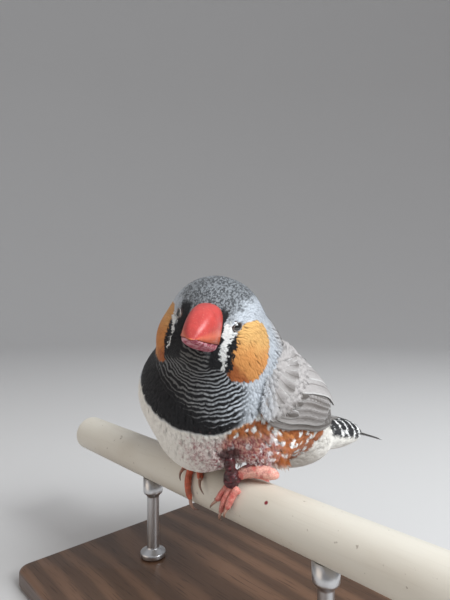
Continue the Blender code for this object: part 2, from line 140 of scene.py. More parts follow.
def hump(value, middle, width):
    """A bell curve: 1 at its middle, and e to the minus square of how many widths away from it."""
    return np.exp(-(((value - middle) / width) ** 2))


def together(*values):
    """Values spread to one shape and set side by side, as the parts of one array."""
    return np.stack(np.broadcast_arrays(*values), -1)


def both_sides(places):
    """The places with those on the bird's right brought over to its left."""
    return np.stack([np.abs(places[..., 0]), places[..., 1], places[..., 2]], -1)


# The bird's outer surface, as distances that are negative inside


def ellipsoid(places, centre, radii, pitch=0.0, yaw=0.0):
    """About how far places are outside an ellipsoid: k(k - 1) over its slope's length, with k = 1 on it."""
    local = (places - np.array(centre)) @ (turn("z", yaw) @ turn("x", pitch))
    radii = np.array(radii, float)
    near = np.sqrt(((local / radii) ** 2).sum(-1))
    slope = np.sqrt(((local / radii**2) ** 2).sum(-1))
    return near * (near - 1.0) / np.maximum(slope, 1e-9)


def blend(distances, softness):
    """One smooth surface round several: minus the softness times the log of the sum of exponentials."""
    distances = np.stack(distances)
    least = distances.min(0)
    return least - softness * np.log(np.exp(-(distances - least) / softness).sum(0))


def head_field(places):
    local = to_head(places)
    half = both_sides(local)
    return blend(
        [
            ellipsoid(local, (0, 1.2, 0.8), (9.8, 10.2, 9.1)),  # skull and crown
            ellipsoid(local, (0, -4.6, -1.2), (6.6, 6.0, 6.8)),  # face
            ellipsoid(half, (5.6, -0.6, -4.4), (5.5, 6.8, 6.2)),  # cheeks
            ellipsoid(local, (0, -4.6, -5.6), (5.6, 5.6, 4.6)),  # chin
        ],
        1.0,
    )


def trunk_field(places):
    return blend(
        [
            ellipsoid(places, (0, 10.0, 18.9), (16.5, 25.2, 13.4), -30),  # trunk
            ellipsoid(places, (0, -4.3, 22.9), (15.8, 13.2, 12.2)),  # breast
            ellipsoid(places, (1, -4.5, 15.2), (10.6, 9.8, 9.8)),  # belly
            ellipsoid(places, (2, 1.0, 30.5), (13.2, 12.2, 12.0)),  # neck
            ellipsoid(places, (0, 24.0, 7.2), (10.5, 13.0, 6.9), -12),  # vent
            ellipsoid(places, (12.0, 3.8, 11.6), (4.0, 6.6, 5.0)),  # left thigh
            ellipsoid(places, (0, 39.5, 5.3), (6.4, 15.1, 4.6), -10),  # tail's root
        ],
        1.6,
    )


def coat_field(places):
    """The outer surface of the whole coat, with the round hollow where the belly sits over the perch."""
    softness = 0.7
    whole = blend([head_field(places), trunk_field(places)], 1.4)
    hollow = COAT_HOLLOW - np.hypot(places[..., 1], places[..., 2])
    most = np.maximum(whole, hollow)
    return most + softness * np.log(np.exp((whole - most) / softness) + np.exp((hollow - most) / softness))


def wing_field(places):
    """The outer surface of the folded wings: the coat, thickened, and the straight quills behind it."""
    half = both_sides(places)
    return blend(
        [
            coat_field(places) - (WING_CLEARANCE + WING_THICKNESS),
            ellipsoid(half, (6.6, 26.5, 15.6), (5.8, 24.0, 7.0), -31, 9),
        ],
        1.2,
    )


def from_bill(places):
    """How far each place is from the root of the bill, which the coat's sizes run out from."""
    return np.linalg.norm(to_head(places) - BILL_BASE, axis=-1)


def from_bars(places):
    """How far each place is from the point that the throat's bars and the breast band run round."""
    return np.linalg.norm(places - BAR_MIDDLE, axis=-1)


def coat_depth(places):
    """How deep the skin lies under the coat's outer surface: little on the face and more on the body."""
    settings = bpy.context.scene.finch_plumage
    face, body = settings.face_depth / MM, settings.body_depth / MM
    return face + (body - face) * smooth(from_bill(places), THIN_COAT_ENDS, FULL_COAT_STARTS)


def sheath_field(places):
    """The coat, drawn out behind over the roots of the tail's quills."""
    return blend([coat_field(places), ellipsoid(places, (0.8, 53.0, 3.1), (3.3, 12.5, 2.0), -17)], 1.2)


def skin_field(places):
    return coat_field(places) + coat_depth(places)


# The planes that the bird is measured in, from the head back to the tail: a place and a direction
SPINE = (
    (tuple(HEAD_AT), (-0.36, 0.60, -0.66)),
    ((4.0, -1.0, 31.0), (-0.15, 0.45, -0.86)),
    ((1.5, 2.5, 24.0), (-0.06, 0.72, -0.69)),
    ((0.5, 9.0, 19.0), (0, 0.87, -0.50)),
    ((0.0, 18.5, 13.5), (0, 0.93, -0.37)),
    ((0.0, 32.0, 7.5), (0, 0.96, -0.27)),
    ((0.3, 47.5, 4.0), (0.02, 0.98, -0.16)),
)


def spine(along):
    """Place and direction on the spine, a cubic through its places, at 0 to 1 along it."""
    places = np.array([place for place, _ in SPINE], float)
    ways = unit([way for _, way in SPINE])
    spans = len(places) - 1
    at = np.clip(along, 0, 1) * spans
    index = np.minimum(at.astype(int), spans - 1)
    t = (at - index)[..., None]
    length = np.linalg.norm(np.diff(places, axis=0), axis=1)[index][..., None]
    place = (2 * t**3 - 3 * t**2 + 1) * places[index] + (t**3 - 2 * t**2 + t) * ways[index] * length
    place += (3 * t**2 - 2 * t**3) * places[index + 1] + (t**3 - t**2) * ways[index + 1] * length
    return place, unit(ways[index] * (1 - t) + ways[index + 1] * t)


def rays(along, angle):
    """Start and direction of the line from the spine out to the coat. The angle is 0 up the back and
    grows towards the bird's left. Before 0 and past 1 the lines close in on the bill and the tail."""
    place, way = spine(along)
    start = np.clip(along * 4, 0, 1)[..., None]
    up = unit(HEAD_UP * (1 - start) + np.array([0, 0, 1.0]) * start)
    ahead = smooth(-along, 0, CAP_ROWS)[..., None]
    way = unit(way * (1 - ahead) + FACE_BACK * ahead)
    up = unit(up - (up * way).sum(-1, keepdims=True) * way)
    side = np.cross(way, up)
    lean = (np.where(along < 0, along, np.maximum(along - 1, 0)) * (pi / 2) / CAP_ROWS)[..., None]
    out = np.cos(angle)[..., None] * up + np.sin(angle)[..., None] * side
    return place, np.cos(lean) * out + np.sin(lean) * way


def reach(field, place, ray):
    """How far along each line the field first rises through 0, by steps and then by halving."""
    steps = np.linspace(0.5, FAR, REACH_STEPS)
    low = np.full(place.shape[:-1], steps[0])
    high = np.full(place.shape[:-1], FAR)
    found = np.zeros(place.shape[:-1], bool)
    for near, far in zip(steps[:-1], steps[1:]):
        crossed = ~found & (field(place + ray * far) > 0)
        low = np.where(crossed, near, low)
        high = np.where(crossed, far, high)
        found |= crossed
    for _ in range(REACH_HALVINGS):
        middle = 0.5 * (low + high)
        outside = field(place + ray * middle[..., None]) > 0
        low = np.where(outside, low, middle)
        high = np.where(outside, middle, high)
    return 0.5 * (low + high)


def slope(field, places, step=0.2):
    """The direction straight out of a field: its change over a small step each way along X, Y and Z."""
    moves = np.eye(3) * step
    return unit(np.stack([field(places + move) - field(places - move) for move in moves], -1))


# Meshes from grids of places


def grid_faces(count, rows, columns):
    """The corners of every quad of count grids of rows by columns: each place with the next in its row and
    the two beside them in the row after."""
    start = np.arange(rows - 1)[:, None] * columns + np.arange(columns - 1)
    quads = (start[..., None] + np.array([0, 1, columns + 1, columns])).reshape(-1, 4)
    return (quads[None] + (np.arange(count) * rows * columns)[:, None, None]).reshape(-1, 4)


def make_piece(name, places, finish, replaced=(), maps=None, facts=None, weld=True, soft=None):
    """A smooth-shaded mesh object from grids of places in millimetres, with UV maps and attributes by name.
    The axes before the last are a grid's rows and columns. Soft directions, where given, are the ones that
    the light falls on in place of the faces' own."""
    rows, columns = places.shape[-3:-1]
    places = (places.reshape(-1, 3) + PERCH_AT) * MM
    quads = grid_faces(len(places) // (rows * columns), rows, columns)
    mesh = bpy.data.meshes.new(name)
    mesh.vertices.add(len(places))
    mesh.vertices.foreach_set("co", places.astype(np.float32).ravel())
    mesh.loops.add(quads.size)
    mesh.loops.foreach_set("vertex_index", quads.astype(np.int32).ravel())
    mesh.polygons.add(len(quads))
    mesh.polygons.foreach_set("loop_start", np.arange(len(quads), dtype=np.int32) * 4)
    mesh.update(calc_edges=True)
    for key, values in (maps or {}).items():
        layer = mesh.uv_layers.new(name=key)
        layer.uv.foreach_set("vector", values.reshape(-1, 2)[quads.ravel()].astype(np.float32).ravel())
    for key, values in (facts or {}).items():
        is_vector = values.shape[-1] == 3
        attribute = mesh.attributes.new(key, "FLOAT_VECTOR" if is_vector else "FLOAT", "POINT")
        attribute.data.foreach_set("vector" if is_vector else "value", values.astype(np.float32).ravel())
    if weld:
        shape = bmesh.new()
        shape.from_mesh(mesh)
        bmesh.ops.remove_doubles(shape, verts=shape.verts, dist=WELD_WITHIN)
        bmesh.ops.dissolve_degenerate(shape, edges=shape.edges, dist=SHORTEST_EDGE)
        bmesh.ops.recalc_face_normals(shape, faces=shape.faces)
        shape.to_mesh(mesh)
        shape.free()
    mesh.shade_smooth()
    if soft is not None:
        mesh.normals_split_custom_set_from_vertices(soft.reshape(-1, 3).astype(np.float32))
    mesh.materials.append(finish_of(finish))
    piece = bpy.data.objects.new(name, mesh)
    bpy.context.scene.collection.objects.link(piece)
    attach(piece, "root")
    if replaced:
        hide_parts(*replaced)


def closed(rings):
    """The rings with one more at each end, drawn together at the middle of the last."""
    ends = [np.broadcast_to(ring.mean(1, keepdims=True), ring.shape) for ring in (rings[:1], rings[-1:])]
    return np.concatenate([ends[0], rings, ends[1]])


# Materials: sockets that Python's own signs work on


class Wire:
    """A number or a direction on its way through a material's nodes."""

    def __init__(self, finish, socket):
        self.finish = finish
        self.socket = socket

    def __add__(self, other):
        return self.finish.maths("ADD", self, other)

    def __sub__(self, other):
        return self.finish.maths("SUBTRACT", self, other)

    def __rsub__(self, other):
        return self.finish.maths("SUBTRACT", other, self)

    def __mul__(self, other):
        return self.finish.maths("MULTIPLY", self, other)

    def __truediv__(self, other):
        return self.finish.maths("DIVIDE", self, other)

    def __pow__(self, other):
        return self.finish.maths("POWER", self, other)

    def __abs__(self):
        return self.finish.maths("ABSOLUTE", self)

    __radd__ = __add__
    __rmul__ = __mul__


class Finish:
    """One material: its Principled shader, its constants, the nodes that paint feeds it from, and the name
    of a slot, which nothing here reads."""

    name = ""
    slot = "plumage"
    constants = {}

    def __init__(self):
        self.material = bpy.data.materials.new(self.name)
        self.material.use_nodes = True
        self.tree = self.material.node_tree
        self.shader = self.tree.nodes["Principled BSDF"]
        for key, value in self.constants.items():
            self.feed(self.shader.inputs[key], value)
        self.paint(Palette())

    def feed(self, socket, value):
        if isinstance(value, Wire):
            self.tree.links.new(value.socket, socket)
        elif socket.type == "RGBA":
            socket.default_value = (*value[:3], 1.0)
        else:
            socket.default_value = value

    def node(self, kind, settings, inputs, output=0):
        """One node of a kind, with its settings made first, then its sockets' values or links."""
        made = self.tree.nodes.new(kind)
        for key, value in settings.items():
            setattr(made, key, value)
        for key, value in inputs.items():
            self.feed(made.inputs[key], value)
        return Wire(self, made.outputs[output])

    def maths(self, operation, *values):
        return self.node("ShaderNodeMath", {"operation": operation}, dict(enumerate(values)))

    def most(self, *values):
        return self.maths("MAXIMUM", *values)

    def sine(self, value):
        return self.maths("SINE", value)

    def rises(self, value, low, high):
        """0 below low and 1 above high. With high under low it falls instead."""
        inputs = {"Value": value, "From Min": low, "From Max": high}
        return self.node("ShaderNodeMapRange", {"interpolation_type": "SMOOTHSTEP"}, inputs)

    def mix(self, share, first, second):
        """The first colour where the share is 0, and the second where it is 1."""
        settings = {"data_type": "RGBA", "clamp_factor": True}
        return self.node("ShaderNodeMix", settings, {0: share, 6: first, 7: second}, 2)

    def shade(self, colour, amount):
        """A colour times a number."""
        return self.node("ShaderNodeVectorMath", {"operation": "SCALE"}, {0: colour, "Scale": amount})

    def parts(self, vector):
        split = self.node("ShaderNodeSeparateXYZ", {}, {0: vector})
        return [Wire(self, output) for output in split.socket.node.outputs]

    def fact(self, name, is_vector=False):
        """A value that the mesh carries, as a number or as three."""
        return self.node("ShaderNodeAttribute", {"attribute_name": name}, {}, 1 if is_vector else 2)

    def place(self):
        return self.node("ShaderNodeTexCoord", {}, {}, "Object")

    def vane(self):
        """Two numbers from 0 to 1: across a feather or round a tube, and along it."""
        return self.parts(self.node("ShaderNodeUVMap", {"uv_map": "vane"}, {}))[:2]

    def noise(self, vector, scale, detail=2.0):
        return self.node("ShaderNodeTexNoise", {}, {"Vector": vector, "Scale": scale, "Detail": detail})

    def stretch(self, vector, factors):
        return self.node("ShaderNodeVectorMath", {"operation": "MULTIPLY"}, {0: vector, 1: factors})

    def distance(self, vector, place):
        return self.node("ShaderNodeVectorMath", {"operation": "DISTANCE"}, {0: vector, 1: place}, 1)

    def colour(self, value):
        self.feed(self.shader.inputs["Base Color"], value)

    def roughness(self, value):
        self.feed(self.shader.inputs["Roughness"], value)

    def bump(self, height, strength, distance):
        """Small relief, in metres, that only turns the light."""
        inputs = {"Height": height, "Strength": strength, "Distance": distance}
        self.feed(self.shader.inputs["Normal"], self.node("ShaderNodeBump", {}, inputs))


# What a user would change


def colour_setting(name, description, default):
    return bpy.props.FloatVectorProperty(
        name=name, description=description, default=default, size=3, min=0.0, max=1.0, subtype="COLOR"
    )


def length_setting(name, description, default, lowest, highest):
    return bpy.props.FloatProperty(
        name=name,
        description=description,
        default=default,
        min=lowest,
        max=highest,
        precision=5,
        subtype="DISTANCE",
        unit="LENGTH",
    )


class FinchPlumage(bpy.types.PropertyGroup):
    """Sizes and colours of the skin and the coat"""

    face_depth: length_setting("Depth on the face", "Coat's depth round the bill", 0.0003, 0.0002, 0.001)
    body_depth: length_setting("Depth on the body", "Coat's depth on the body", 0.0012, 0.0006, 0.0025)
    feather_size: bpy.props.FloatProperty(
        name="Feather size", description="Size of each feather, as a share", default=1.0, min=0.7, max=1.6
    )
    crown: colour_setting("Crown", "Forehead and crown", (0.235, 0.25, 0.265))
    nape: colour_setting("Nape", "Nape, sides of the neck and chest", (0.52, 0.555, 0.60))
    mantle: colour_setting("Mantle", "Back and folded wings", (0.42, 0.395, 0.385))
    quill: colour_setting("Quills", "Long wing feathers", (0.10, 0.085, 0.075))
    cheek: colour_setting("Cheek", "Middle of the cheek patch", (0.66, 0.29, 0.085))
    cheek_top: colour_setting("Top of the cheek", "Cheek patch under the eye", (0.74, 0.43, 0.15))
    chestnut: colour_setting("Chestnut", "Flanks and the lower front of the cheek", (0.36, 0.105, 0.028))
    black: colour_setting("Black", "Tear lines, throat bars, breast band and tail", (0.010, 0.010, 0.012))
    white: colour_setting("White", "Bars beside the bill, flank spots and tail bars", (0.80, 0.80, 0.78))
    belly: colour_setting("Belly", "Belly and the feathers under the tail", (0.82, 0.79, 0.73))
    stain: colour_setting("Dried stain", "Matted feathers near the hurt foot", (0.22, 0.012, 0.025))


class FinchBareParts(bpy.types.PropertyGroup):
    """Colours of the bill, the eyes and the feet"""

    bill: colour_setting("Bill", "Upper mandible", (0.52, 0.058, 0.050))
    bill_edge: colour_setting("Bill's edges", "Cutting edges and root of the bill", (0.70, 0.20, 0.075))
    lower_bill: colour_setting("Lower mandible", "Lower mandible", (0.36, 0.050, 0.085))
    iris: colour_setting("Iris", "Ring round the pupil", (0.10, 0.018, 0.010))
    lid: colour_setting("Eyelids", "Bare rims of the eyes", (0.30, 0.27, 0.26))
    leg: colour_setting("Legs", "Scaled skin of the legs and toes", (0.66, 0.15, 0.075))
    hurt_leg: colour_setting("Swollen leg", "Bare swollen skin of the left leg", (0.80, 0.42, 0.34))
    claw: colour_setting("Claws", "Claws", (0.42, 0.24, 0.18))


class FinchStand(bpy.types.PropertyGroup):
    """Sizes and colours of the perch and the display stand"""

    perch: colour_setting("Perch", "Smooth off-white perch", (0.70, 0.66, 0.575))
    wood: colour_setting("Base", "Stained wood of the base", (0.085, 0.045, 0.026))
    rod: colour_setting("Rods", "Turned steel rods", (0.62, 0.62, 0.63))
    edge: length_setting("Rounding", "Rounding of the base's edges", 0.0012, 0.0004, 0.002)


class FinchStudio(bpy.types.PropertyGroup):
    """The camera's place and the studio's light"""

    camera: bpy.props.FloatVectorProperty(
        name="Camera",
        description="Where the camera stands, from the perch under the belly",
        default=(0.0823, -0.0730, 0.0429),
        subtype="TRANSLATION",
        unit="LENGTH",
    )
    turn: bpy.props.FloatProperty(
        name="Turn", description="Camera's turn about the upright", default=radians(47.5), subtype="ANGLE"
    )
    lens: bpy.props.FloatProperty(
        name="Lens", description="Focal length in millimetres", default=28.8, min=10
    )
    floor: colour_setting("Floor", "Pale studio floor", (0.62, 0.61, 0.60))
    key: bpy.props.FloatProperty(
        name="Key light", description="Strength of the large soft light", default=4.7, min=0
    )
    fill: bpy.props.FloatProperty(
        name="Fill", description="Strength of the light from all round", default=0.52, min=0
    )


# The markings, which the skin and every feather share

THROAT_FADE, THROAT_FADE_RISE = -6.2, 0.95
BAND_EDGE = 19.9
BAR_START, BAR_PERIOD, BAR_GROWTH = 4.0, 0.58, 0.030
MIDDLE_LINE, TEAR_LINE, TEAR_HALF_WIDTH = -0.6, 6.6, 0.54
CHEEK_START, CHEEK_WAY, CHEEK_LEAN = (6.0, -8.0), (0.67, 0.74), 0.17
CHEEK_AT, CHEEK_SIZE, CHEEK_SQUARE = (4.4, -3.9), (5.1, 6.1), 2.6
STAIN_AT = (11.0, -4.0, 11.0)
STREAK_AT = (8.6, -11.6, 11.6)
THREAD_AT = (11.0, -6.6, 11.2)
SOLID_START, SOLID_FULL, SOLID_LAST = 10.5, 15.6, 18.4
FLANK_SPOTS, RUMP_START, RUMP_BAR = 0.56, 33.5, 3.6


def cheek_back(side, head_y, head_z):
    """How far back a place is on the cheek's patch, whose front edge leans. Numbers and wires will do."""
    back = (side + MIDDLE_LINE - CHEEK_START[0]) * CHEEK_WAY[0] + (head_y - CHEEK_START[1]) * CHEEK_WAY[1]
    return back - (head_z - CHEEK_AT[1]) * CHEEK_LEAN


def cheek_oval(back, head_z):
    """Below 1 inside the cheek's patch: along each of its axes, the share of its half size to a power."""
    oval = (abs(back - CHEEK_AT[0]) / CHEEK_SIZE[0]) ** CHEEK_SQUARE
    return oval + (abs(head_z - CHEEK_AT[1]) / CHEEK_SIZE[1]) ** CHEEK_SQUARE


def plumage_colour(finish, colours):
    """The plumage's colour at a place, from its millimetres in the body's frame and in the head's.

    The throat's bars and the breast band are shells round BAR_MIDDLE, a point beside the bill: the sine of
    the log of their distance from it, so that each bar is a little wider than the one above it."""
    mix, rises, noise, distance = finish.mix, finish.rises, finish.noise, finish.distance
    body, head = finish.fact("body_at", True), finish.fact("head_at", True)
    x, y, z = finish.parts(body)
    x_head, head_y, head_z = finish.parts(head)
    side, half = abs(x_head - MIDDLE_LINE), abs(x)
    wander = noise(body, 0.42, 1.0) - 0.5
    ragged = noise(body, 1.5) - 0.5
    fleck = noise(body, 3.4, 3.0)
    ring = distance(body, tuple(BAR_MIDDLE)) + wander * 1.5 - finish.most(3.0 - x, 0.0) * 0.14

    # Grey, with a darker crown that is scalloped black, and the brown of the back
    crown = rises(side * 0.9 - head_z * 0.42 + ragged * 3 + wander * 3, 5.6, 2.2)
    crown = crown * rises(head_z, -2.5, 0.5) * rises(head_y, 6.5, -1.0)
    colour = mix(crown, colours.nape, colours.crown)
    scallops = crown * rises(noise(body, 2.3, 3.0) + crown * 0.05, 0.51, 0.60)
    colour = mix(scallops * 0.75, colour, colours.black)
    mantle = rises(y, 1.0, 9.0) * rises(z + y * 0.42 + wander * 3, 20.0, 24.0)
    colour = mix(mantle, colour, colours.mantle)

    # The throat's bars, which run together into the breast band
    fade_edge = y + finish.most(z - 26.0, 0.0) * THROAT_FADE_RISE + wander * 3 + ragged
    throat = rises(fade_edge, THROAT_FADE + 1.4, THROAT_FADE - 2.2)
    throat = throat * rises(head_z, -3.6, -4.8) * rises(ring, BAND_EDGE + 0.5, BAND_EDGE - 0.3)
    growth = (ring - BAR_START) * BAR_GROWTH / BAR_PERIOD + 1.0
    turns = finish.maths("LOGARITHM", growth, e) * (2 * pi / BAR_GROWTH) + ragged * 1.6
    reach_down = finish.most(x - 6.5, 0.0) * 0.80
    solid = rises(ring - reach_down + ragged * 2.5, SOLID_START, SOLID_FULL)
    solid = finish.most(solid, rises(ring + ragged * 1.5, SOLID_LAST, SOLID_LAST + 0.8) * 1.3)
    bar = rises(finish.sine(turns) - solid * 1.25 - 0.12, -0.45, 0.75)
    # Painted shade: the pale bars turn to a dim warm copy of the nape towards the chin, and darker still
    # towards the bird's right side.
    pale_bar_with_shade = mix(rises(y - half * 0.25, -19.0, -11.0), colours.bar, colours.nape)
    pale_bar_with_shade = mix(rises(x, 5.0, -7.0) * 0.40, pale_bar_with_shade, colours.black)
    colour = mix(throat, colour, mix(bar, colours.black, pale_bar_with_shade))

    # The white bar beside the bill and under the eye, and the black line along the bill
    front = rises(head_y, -3.0, -4.5)
    face = front * rises(head_z + ragged * 1.6, -9.0, -8.2)
    far_side = rises(x_head, 2.0, -2.0)
    white_edge = 4.6 + far_side * 0.9 + rises(head_z, -4.5, -8.5) * 0.9 + wander * 1.2
    tear = side + ragged * 1.9 + wander * 1.2
    white_bar = face * rises(head_z + ragged * 3 + fleck, 1.6, 0.2)
    white_bar = white_bar * rises(tear, TEAR_LINE - 0.35, TEAR_LINE - 0.6)
    by_eye = rises(head_z + ragged * 2, -1.6, -0.8) * front * rises(head_z + ragged * 3, 0.9, 0.1)
    white_bar = finish.most(white_bar, by_eye * rises(tear, 6.9, 6.5))
    from_bill_edge = side + ragged * 1.6
    white_bar = white_bar * rises(from_bill_edge, white_edge - 0.2, white_edge + 0.1)
    dusky = mix(rises(fleck, 0.58, 0.68) * 0.5, colours.white, colours.nape)
    colour = mix(white_bar, colour, dusky)
    bill_line = face * rises(head_z + ragged * 2, 3.6, 2.4)
    bill_line = bill_line * rises(from_bill_edge, white_edge + 0.1, white_edge - 0.2)
    colour = mix(bill_line * rises(side, 2.6, 3.2), colour, colours.black)

    # The orange cheek, chestnut at its lower front, and the black tear line before it
    back = cheek_back(side, head_y, head_z)
    cheek = rises(cheek_oval(back, head_z) + ragged * 0.30, 1.05, 0.93)
    cheek = cheek * rises(tear, TEAR_LINE, TEAR_LINE + 0.3)
    low_front = rises(head_z + back * 0.55 + wander * 2.5 + ragged, -5.0, -6.6)
    orange = mix(rises(head_z + wander * 3 + ragged, -5.5, -0.5), colours.cheek, colours.cheek_top)
    orange = mix(low_front, orange, colours.chestnut)
    # Painted shade: the cheek on the bird's right, away from the key light, is mixed part way to chestnut.
    colour = mix(cheek, colour, mix(far_side * 0.45, orange, colours.chestnut))
    tear_line = front * rises(abs(tear - TEAR_LINE), TEAR_HALF_WIDTH + 0.14, TEAR_HALF_WIDTH - 0.12)
    tear_line = tear_line * rises(head_z + ragged, -9.2, -8.4) * rises(head_z, -1.0, -1.7)
    colour = mix(tear_line, colour, colours.black)

    # The pale belly, and chestnut flanks with round white spots
    below_band = rises(ring, BAND_EDGE - 0.3, BAND_EDGE + 0.5)
    low = below_band * rises(z + y * 0.30 - half * 0.30 + wander * 2, 19.0, 17.0)
    colour = mix(low, colour, colours.belly)
    rise = finish.most(12.0 - (y + 6.0) * 0.42, 5.8 + (y - 12.0) * 0.6)
    flank = rises(z - rise + ragged * 2, -0.6, 0.6) * rises(half, 6.5, 8.4)
    flank = flank * below_band * rises(y, -9.6, -8.2) * rises(z + y * 0.2, 24.5, 22.5)
    spots = {"Vector": body, "Scale": FLANK_SPOTS, "Randomness": 0.75}
    spots = rises(finish.node("ShaderNodeTexVoronoi", {}, spots) + ragged * 0.12, 0.44, 0.34)
    tawny = mix(rises(wander, 0.0, 0.16) * 0.4, colours.chestnut, colours.cheek)
    colour = mix(flank, colour, mix(spots, tawny, colours.white))

    # The dried stain by the left leg, a streak of it on the breast, and the matted strand
    stain = rises(distance(body, STAIN_AT) + ragged * 11, 11.5, 4.0)
    streak = rises(distance(body, STREAK_AT) + ragged * 12, 5.4, 1.5)
    stain = finish.most(stain * rises(z, 16.2, 14.6) * rises(x, 1.0, 4.5), streak * 0.8)
    colour = mix(stain * 0.45, colour, colours.washed)
    colour = mix(stain * rises(fleck, 0.42, 0.60) * 0.85, colour, colours.stain)
    thread = rises(distance(body, THREAD_AT) + ragged * 1.2, 3.4, 1.8)
    thread = thread * rises(abs(x - 10.9 + ragged), 1.7, 1.0)
    colour = mix(thread * 0.92, colour, colours.dried)

    # The black and white bars over the root of the tail
    rump = rises(y + ragged * 2, RUMP_START, RUMP_START + 2.0)
    rump = rump * rises(z + (y - 32.0) * 0.22 + ragged, 6.2, 7.2)
    tail_bar = rises(finish.sine((y + ragged * 2.2) * (2 * pi / RUMP_BAR)), 0.58, 0.80)
    return mix(rump, colour, mix(tail_bar, colours.black, colours.white))


def dim(colour, share):
    """A colour times a number, or times one number for each of its parts."""
    return tuple(np.array(colour[:3]) * share)


class Palette:
    """Every setting under its own name, and the few colours that are worked out from them."""

    def __init__(self):
        for name, group in SETTINGS.items():
            for key in group.__annotations__:
                setattr(self, key, getattr(getattr(bpy.context.scene, name), key))
        self.dried = dim(self.stain, 0.16)
        self.washed = tuple(0.5 * part + 0.5 * red for part, red in zip(self.belly, (0.42, 0.10, 0.16)))
        # Painted shade: the colour of the pale throat bars near the chin, the nape dimmed to 0.30 and warmed.
        self.bar = dim(dim(self.nape, 0.30), (0.92, 0.84, 0.74))


@cache
def finish_of(kind):
    """The material of one class of finish, made when it is first asked for."""
    return kind().material


class SoftFinish(Finish):
    """What all soft feathers share: a dull sheen, and barbs in relief, running forward from the shaft."""

    constants = {"Roughness": 0.72, "Sheen Weight": 0.12, "Specular IOR Level": 0.25}

    def barbs(self, across, along):
        self.bump(self.sine((along * 22 + abs(across - 0.5) * 14) * pi), 0.25, 0.00004)


class PlumageFinish(SoftFinish):
    """The material of the skin and of the coat: the markings, with painted shade towards each feather's root.
    """

    name = "plumage"
    constants = {**SoftFinish.constants, "Sheen Roughness": 0.5}

    def paint(self, colours):
        across, along = self.vane()
        # Painted shade: each feather is darker towards its root, where the feathers over it would shade it,
        # with a random tone on top.
        light = self.rises(along, 0.05, 0.75) * 0.14 + 0.82 + self.fact("tone") * 0.08
        self.colour(self.shade(plumage_colour(self, colours), light))
        self.barbs(across, along)


# The skin


@cache
def skin_grid():
    """The skin as a grid: how far along the bird, the angle round it, the places and the way out."""
    rows = np.linspace(-CAP_ROWS, 1 + CAP_ROWS, SKIN_ROWS)
    along, angle = np.meshgrid(rows, circle(SKIN_COLUMNS), indexing="ij")
    place, ray = rays(along, angle)
    places = place + ray * reach(skin_field, place, ray)[..., None]
    return along, angle, places, slope(coat_field, places)


def add_skin():
    """One closed skin: the coat's outer surface moved in by the coat's depth, on a grid that closes round
    the bird and comes together at the bill and at the tail, finely wrinkled by two crossed sines."""
    along, angle, places, out = skin_grid()
    wrinkle = 0.03 * np.sin(along * 240) * np.sin(angle * 60) * smooth(along, -0.1, 0.0)
    places = places + out * wrinkle[..., None]
    flat = np.stack([angle / (2 * pi), (along + CAP_ROWS) / (1 + 2 * CAP_ROWS)], -1)
    # The skin sits 0.35 along the vane, so it takes that much of the plumage's painted root shade.
    maps = {"OFBake": flat, "vane": np.broadcast_to(np.array([0.5, 0.35]), flat.shape)}
    facts = {"body_at": places, "head_at": to_head(places), "tone": np.full(along.shape, 0.4)}
    make_piece("skin", places, PlumageFinish, ("head", "neck", "trunk"), maps, facts)


# The coat: feathers of separate barbs, rooted on the skin

CROWD, OVERLAP = 7, 0.80
SPACING_AT, SPACING = (3, 6, 12, 20, 30, 45), (0.31, 0.36, 0.46, 0.70, 0.96, 1.18)
BARB_WIDTH, BARB_TIP, BARB_TILT, CAMBER = 0.62, 0.16, 0.012, 0.08
BAKE_PATCH = 0.003
MOST_TRIANGLES = 190000
COAT_END = (1 + CAP_ROWS * 1.15) / (1 + 2 * CAP_ROWS)
MARKS_FOLLOWED = {"throat": 0.95, "breast": 0.9, "face": 0.7, "rump": 0.8}
TUFT_FROM = ((13.2, 6.5, 8.2), (14.6, 2.5, 9.0), (12.8, -1.5, 9.2), (11.0, -3.8, 9.2))
TUFT_RADIUS, TUFT_WAY, TUFT_FACE = 2.4, (0.15, 0.35, -1.0), np.array([0.68, -0.73, 0.0])


def feather_spacing(places):
    """Least distance between roots: small round the bill, growing with the distance from it."""
    spacing = np.interp(from_bill(places), SPACING_AT, SPACING)
    return spacing * bpy.context.scene.finch_plumage.feather_size


def between(grid, row, column):
    """Values of a grid at places between its corners, weighted by how near each corner is."""
    i = np.clip(row.astype(int), 0, grid.shape[0] - 2)
    j = np.clip(column.astype(int), 0, grid.shape[1] - 2)
    u, v = row - i, column - j
    if grid.ndim > 2:
        u, v = u[..., None], v[..., None]
    low = grid[i, j] * (1 - v) + grid[i, j + 1] * v
    high = grid[i + 1, j] * (1 - v) + grid[i + 1, j + 1] * v
    return low * (1 - u) + high * u


def spread_evenly(places, spacing):
    """The indices of places kept so that no two are nearer than their spacing, taken in the order given."""
    tree = KDTree(len(places))
    for index, place in enumerate(places):
        tree.insert(place, index)
    tree.balance()
    dropped = np.zeros(len(places), bool)
    kept = []
    for index, place in enumerate(places):
        if not dropped[index]:
            kept.append(index)
            dropped[[near for _, near, _ in tree.find_range(place, spacing[index])]] = True
    return np.array(kept)


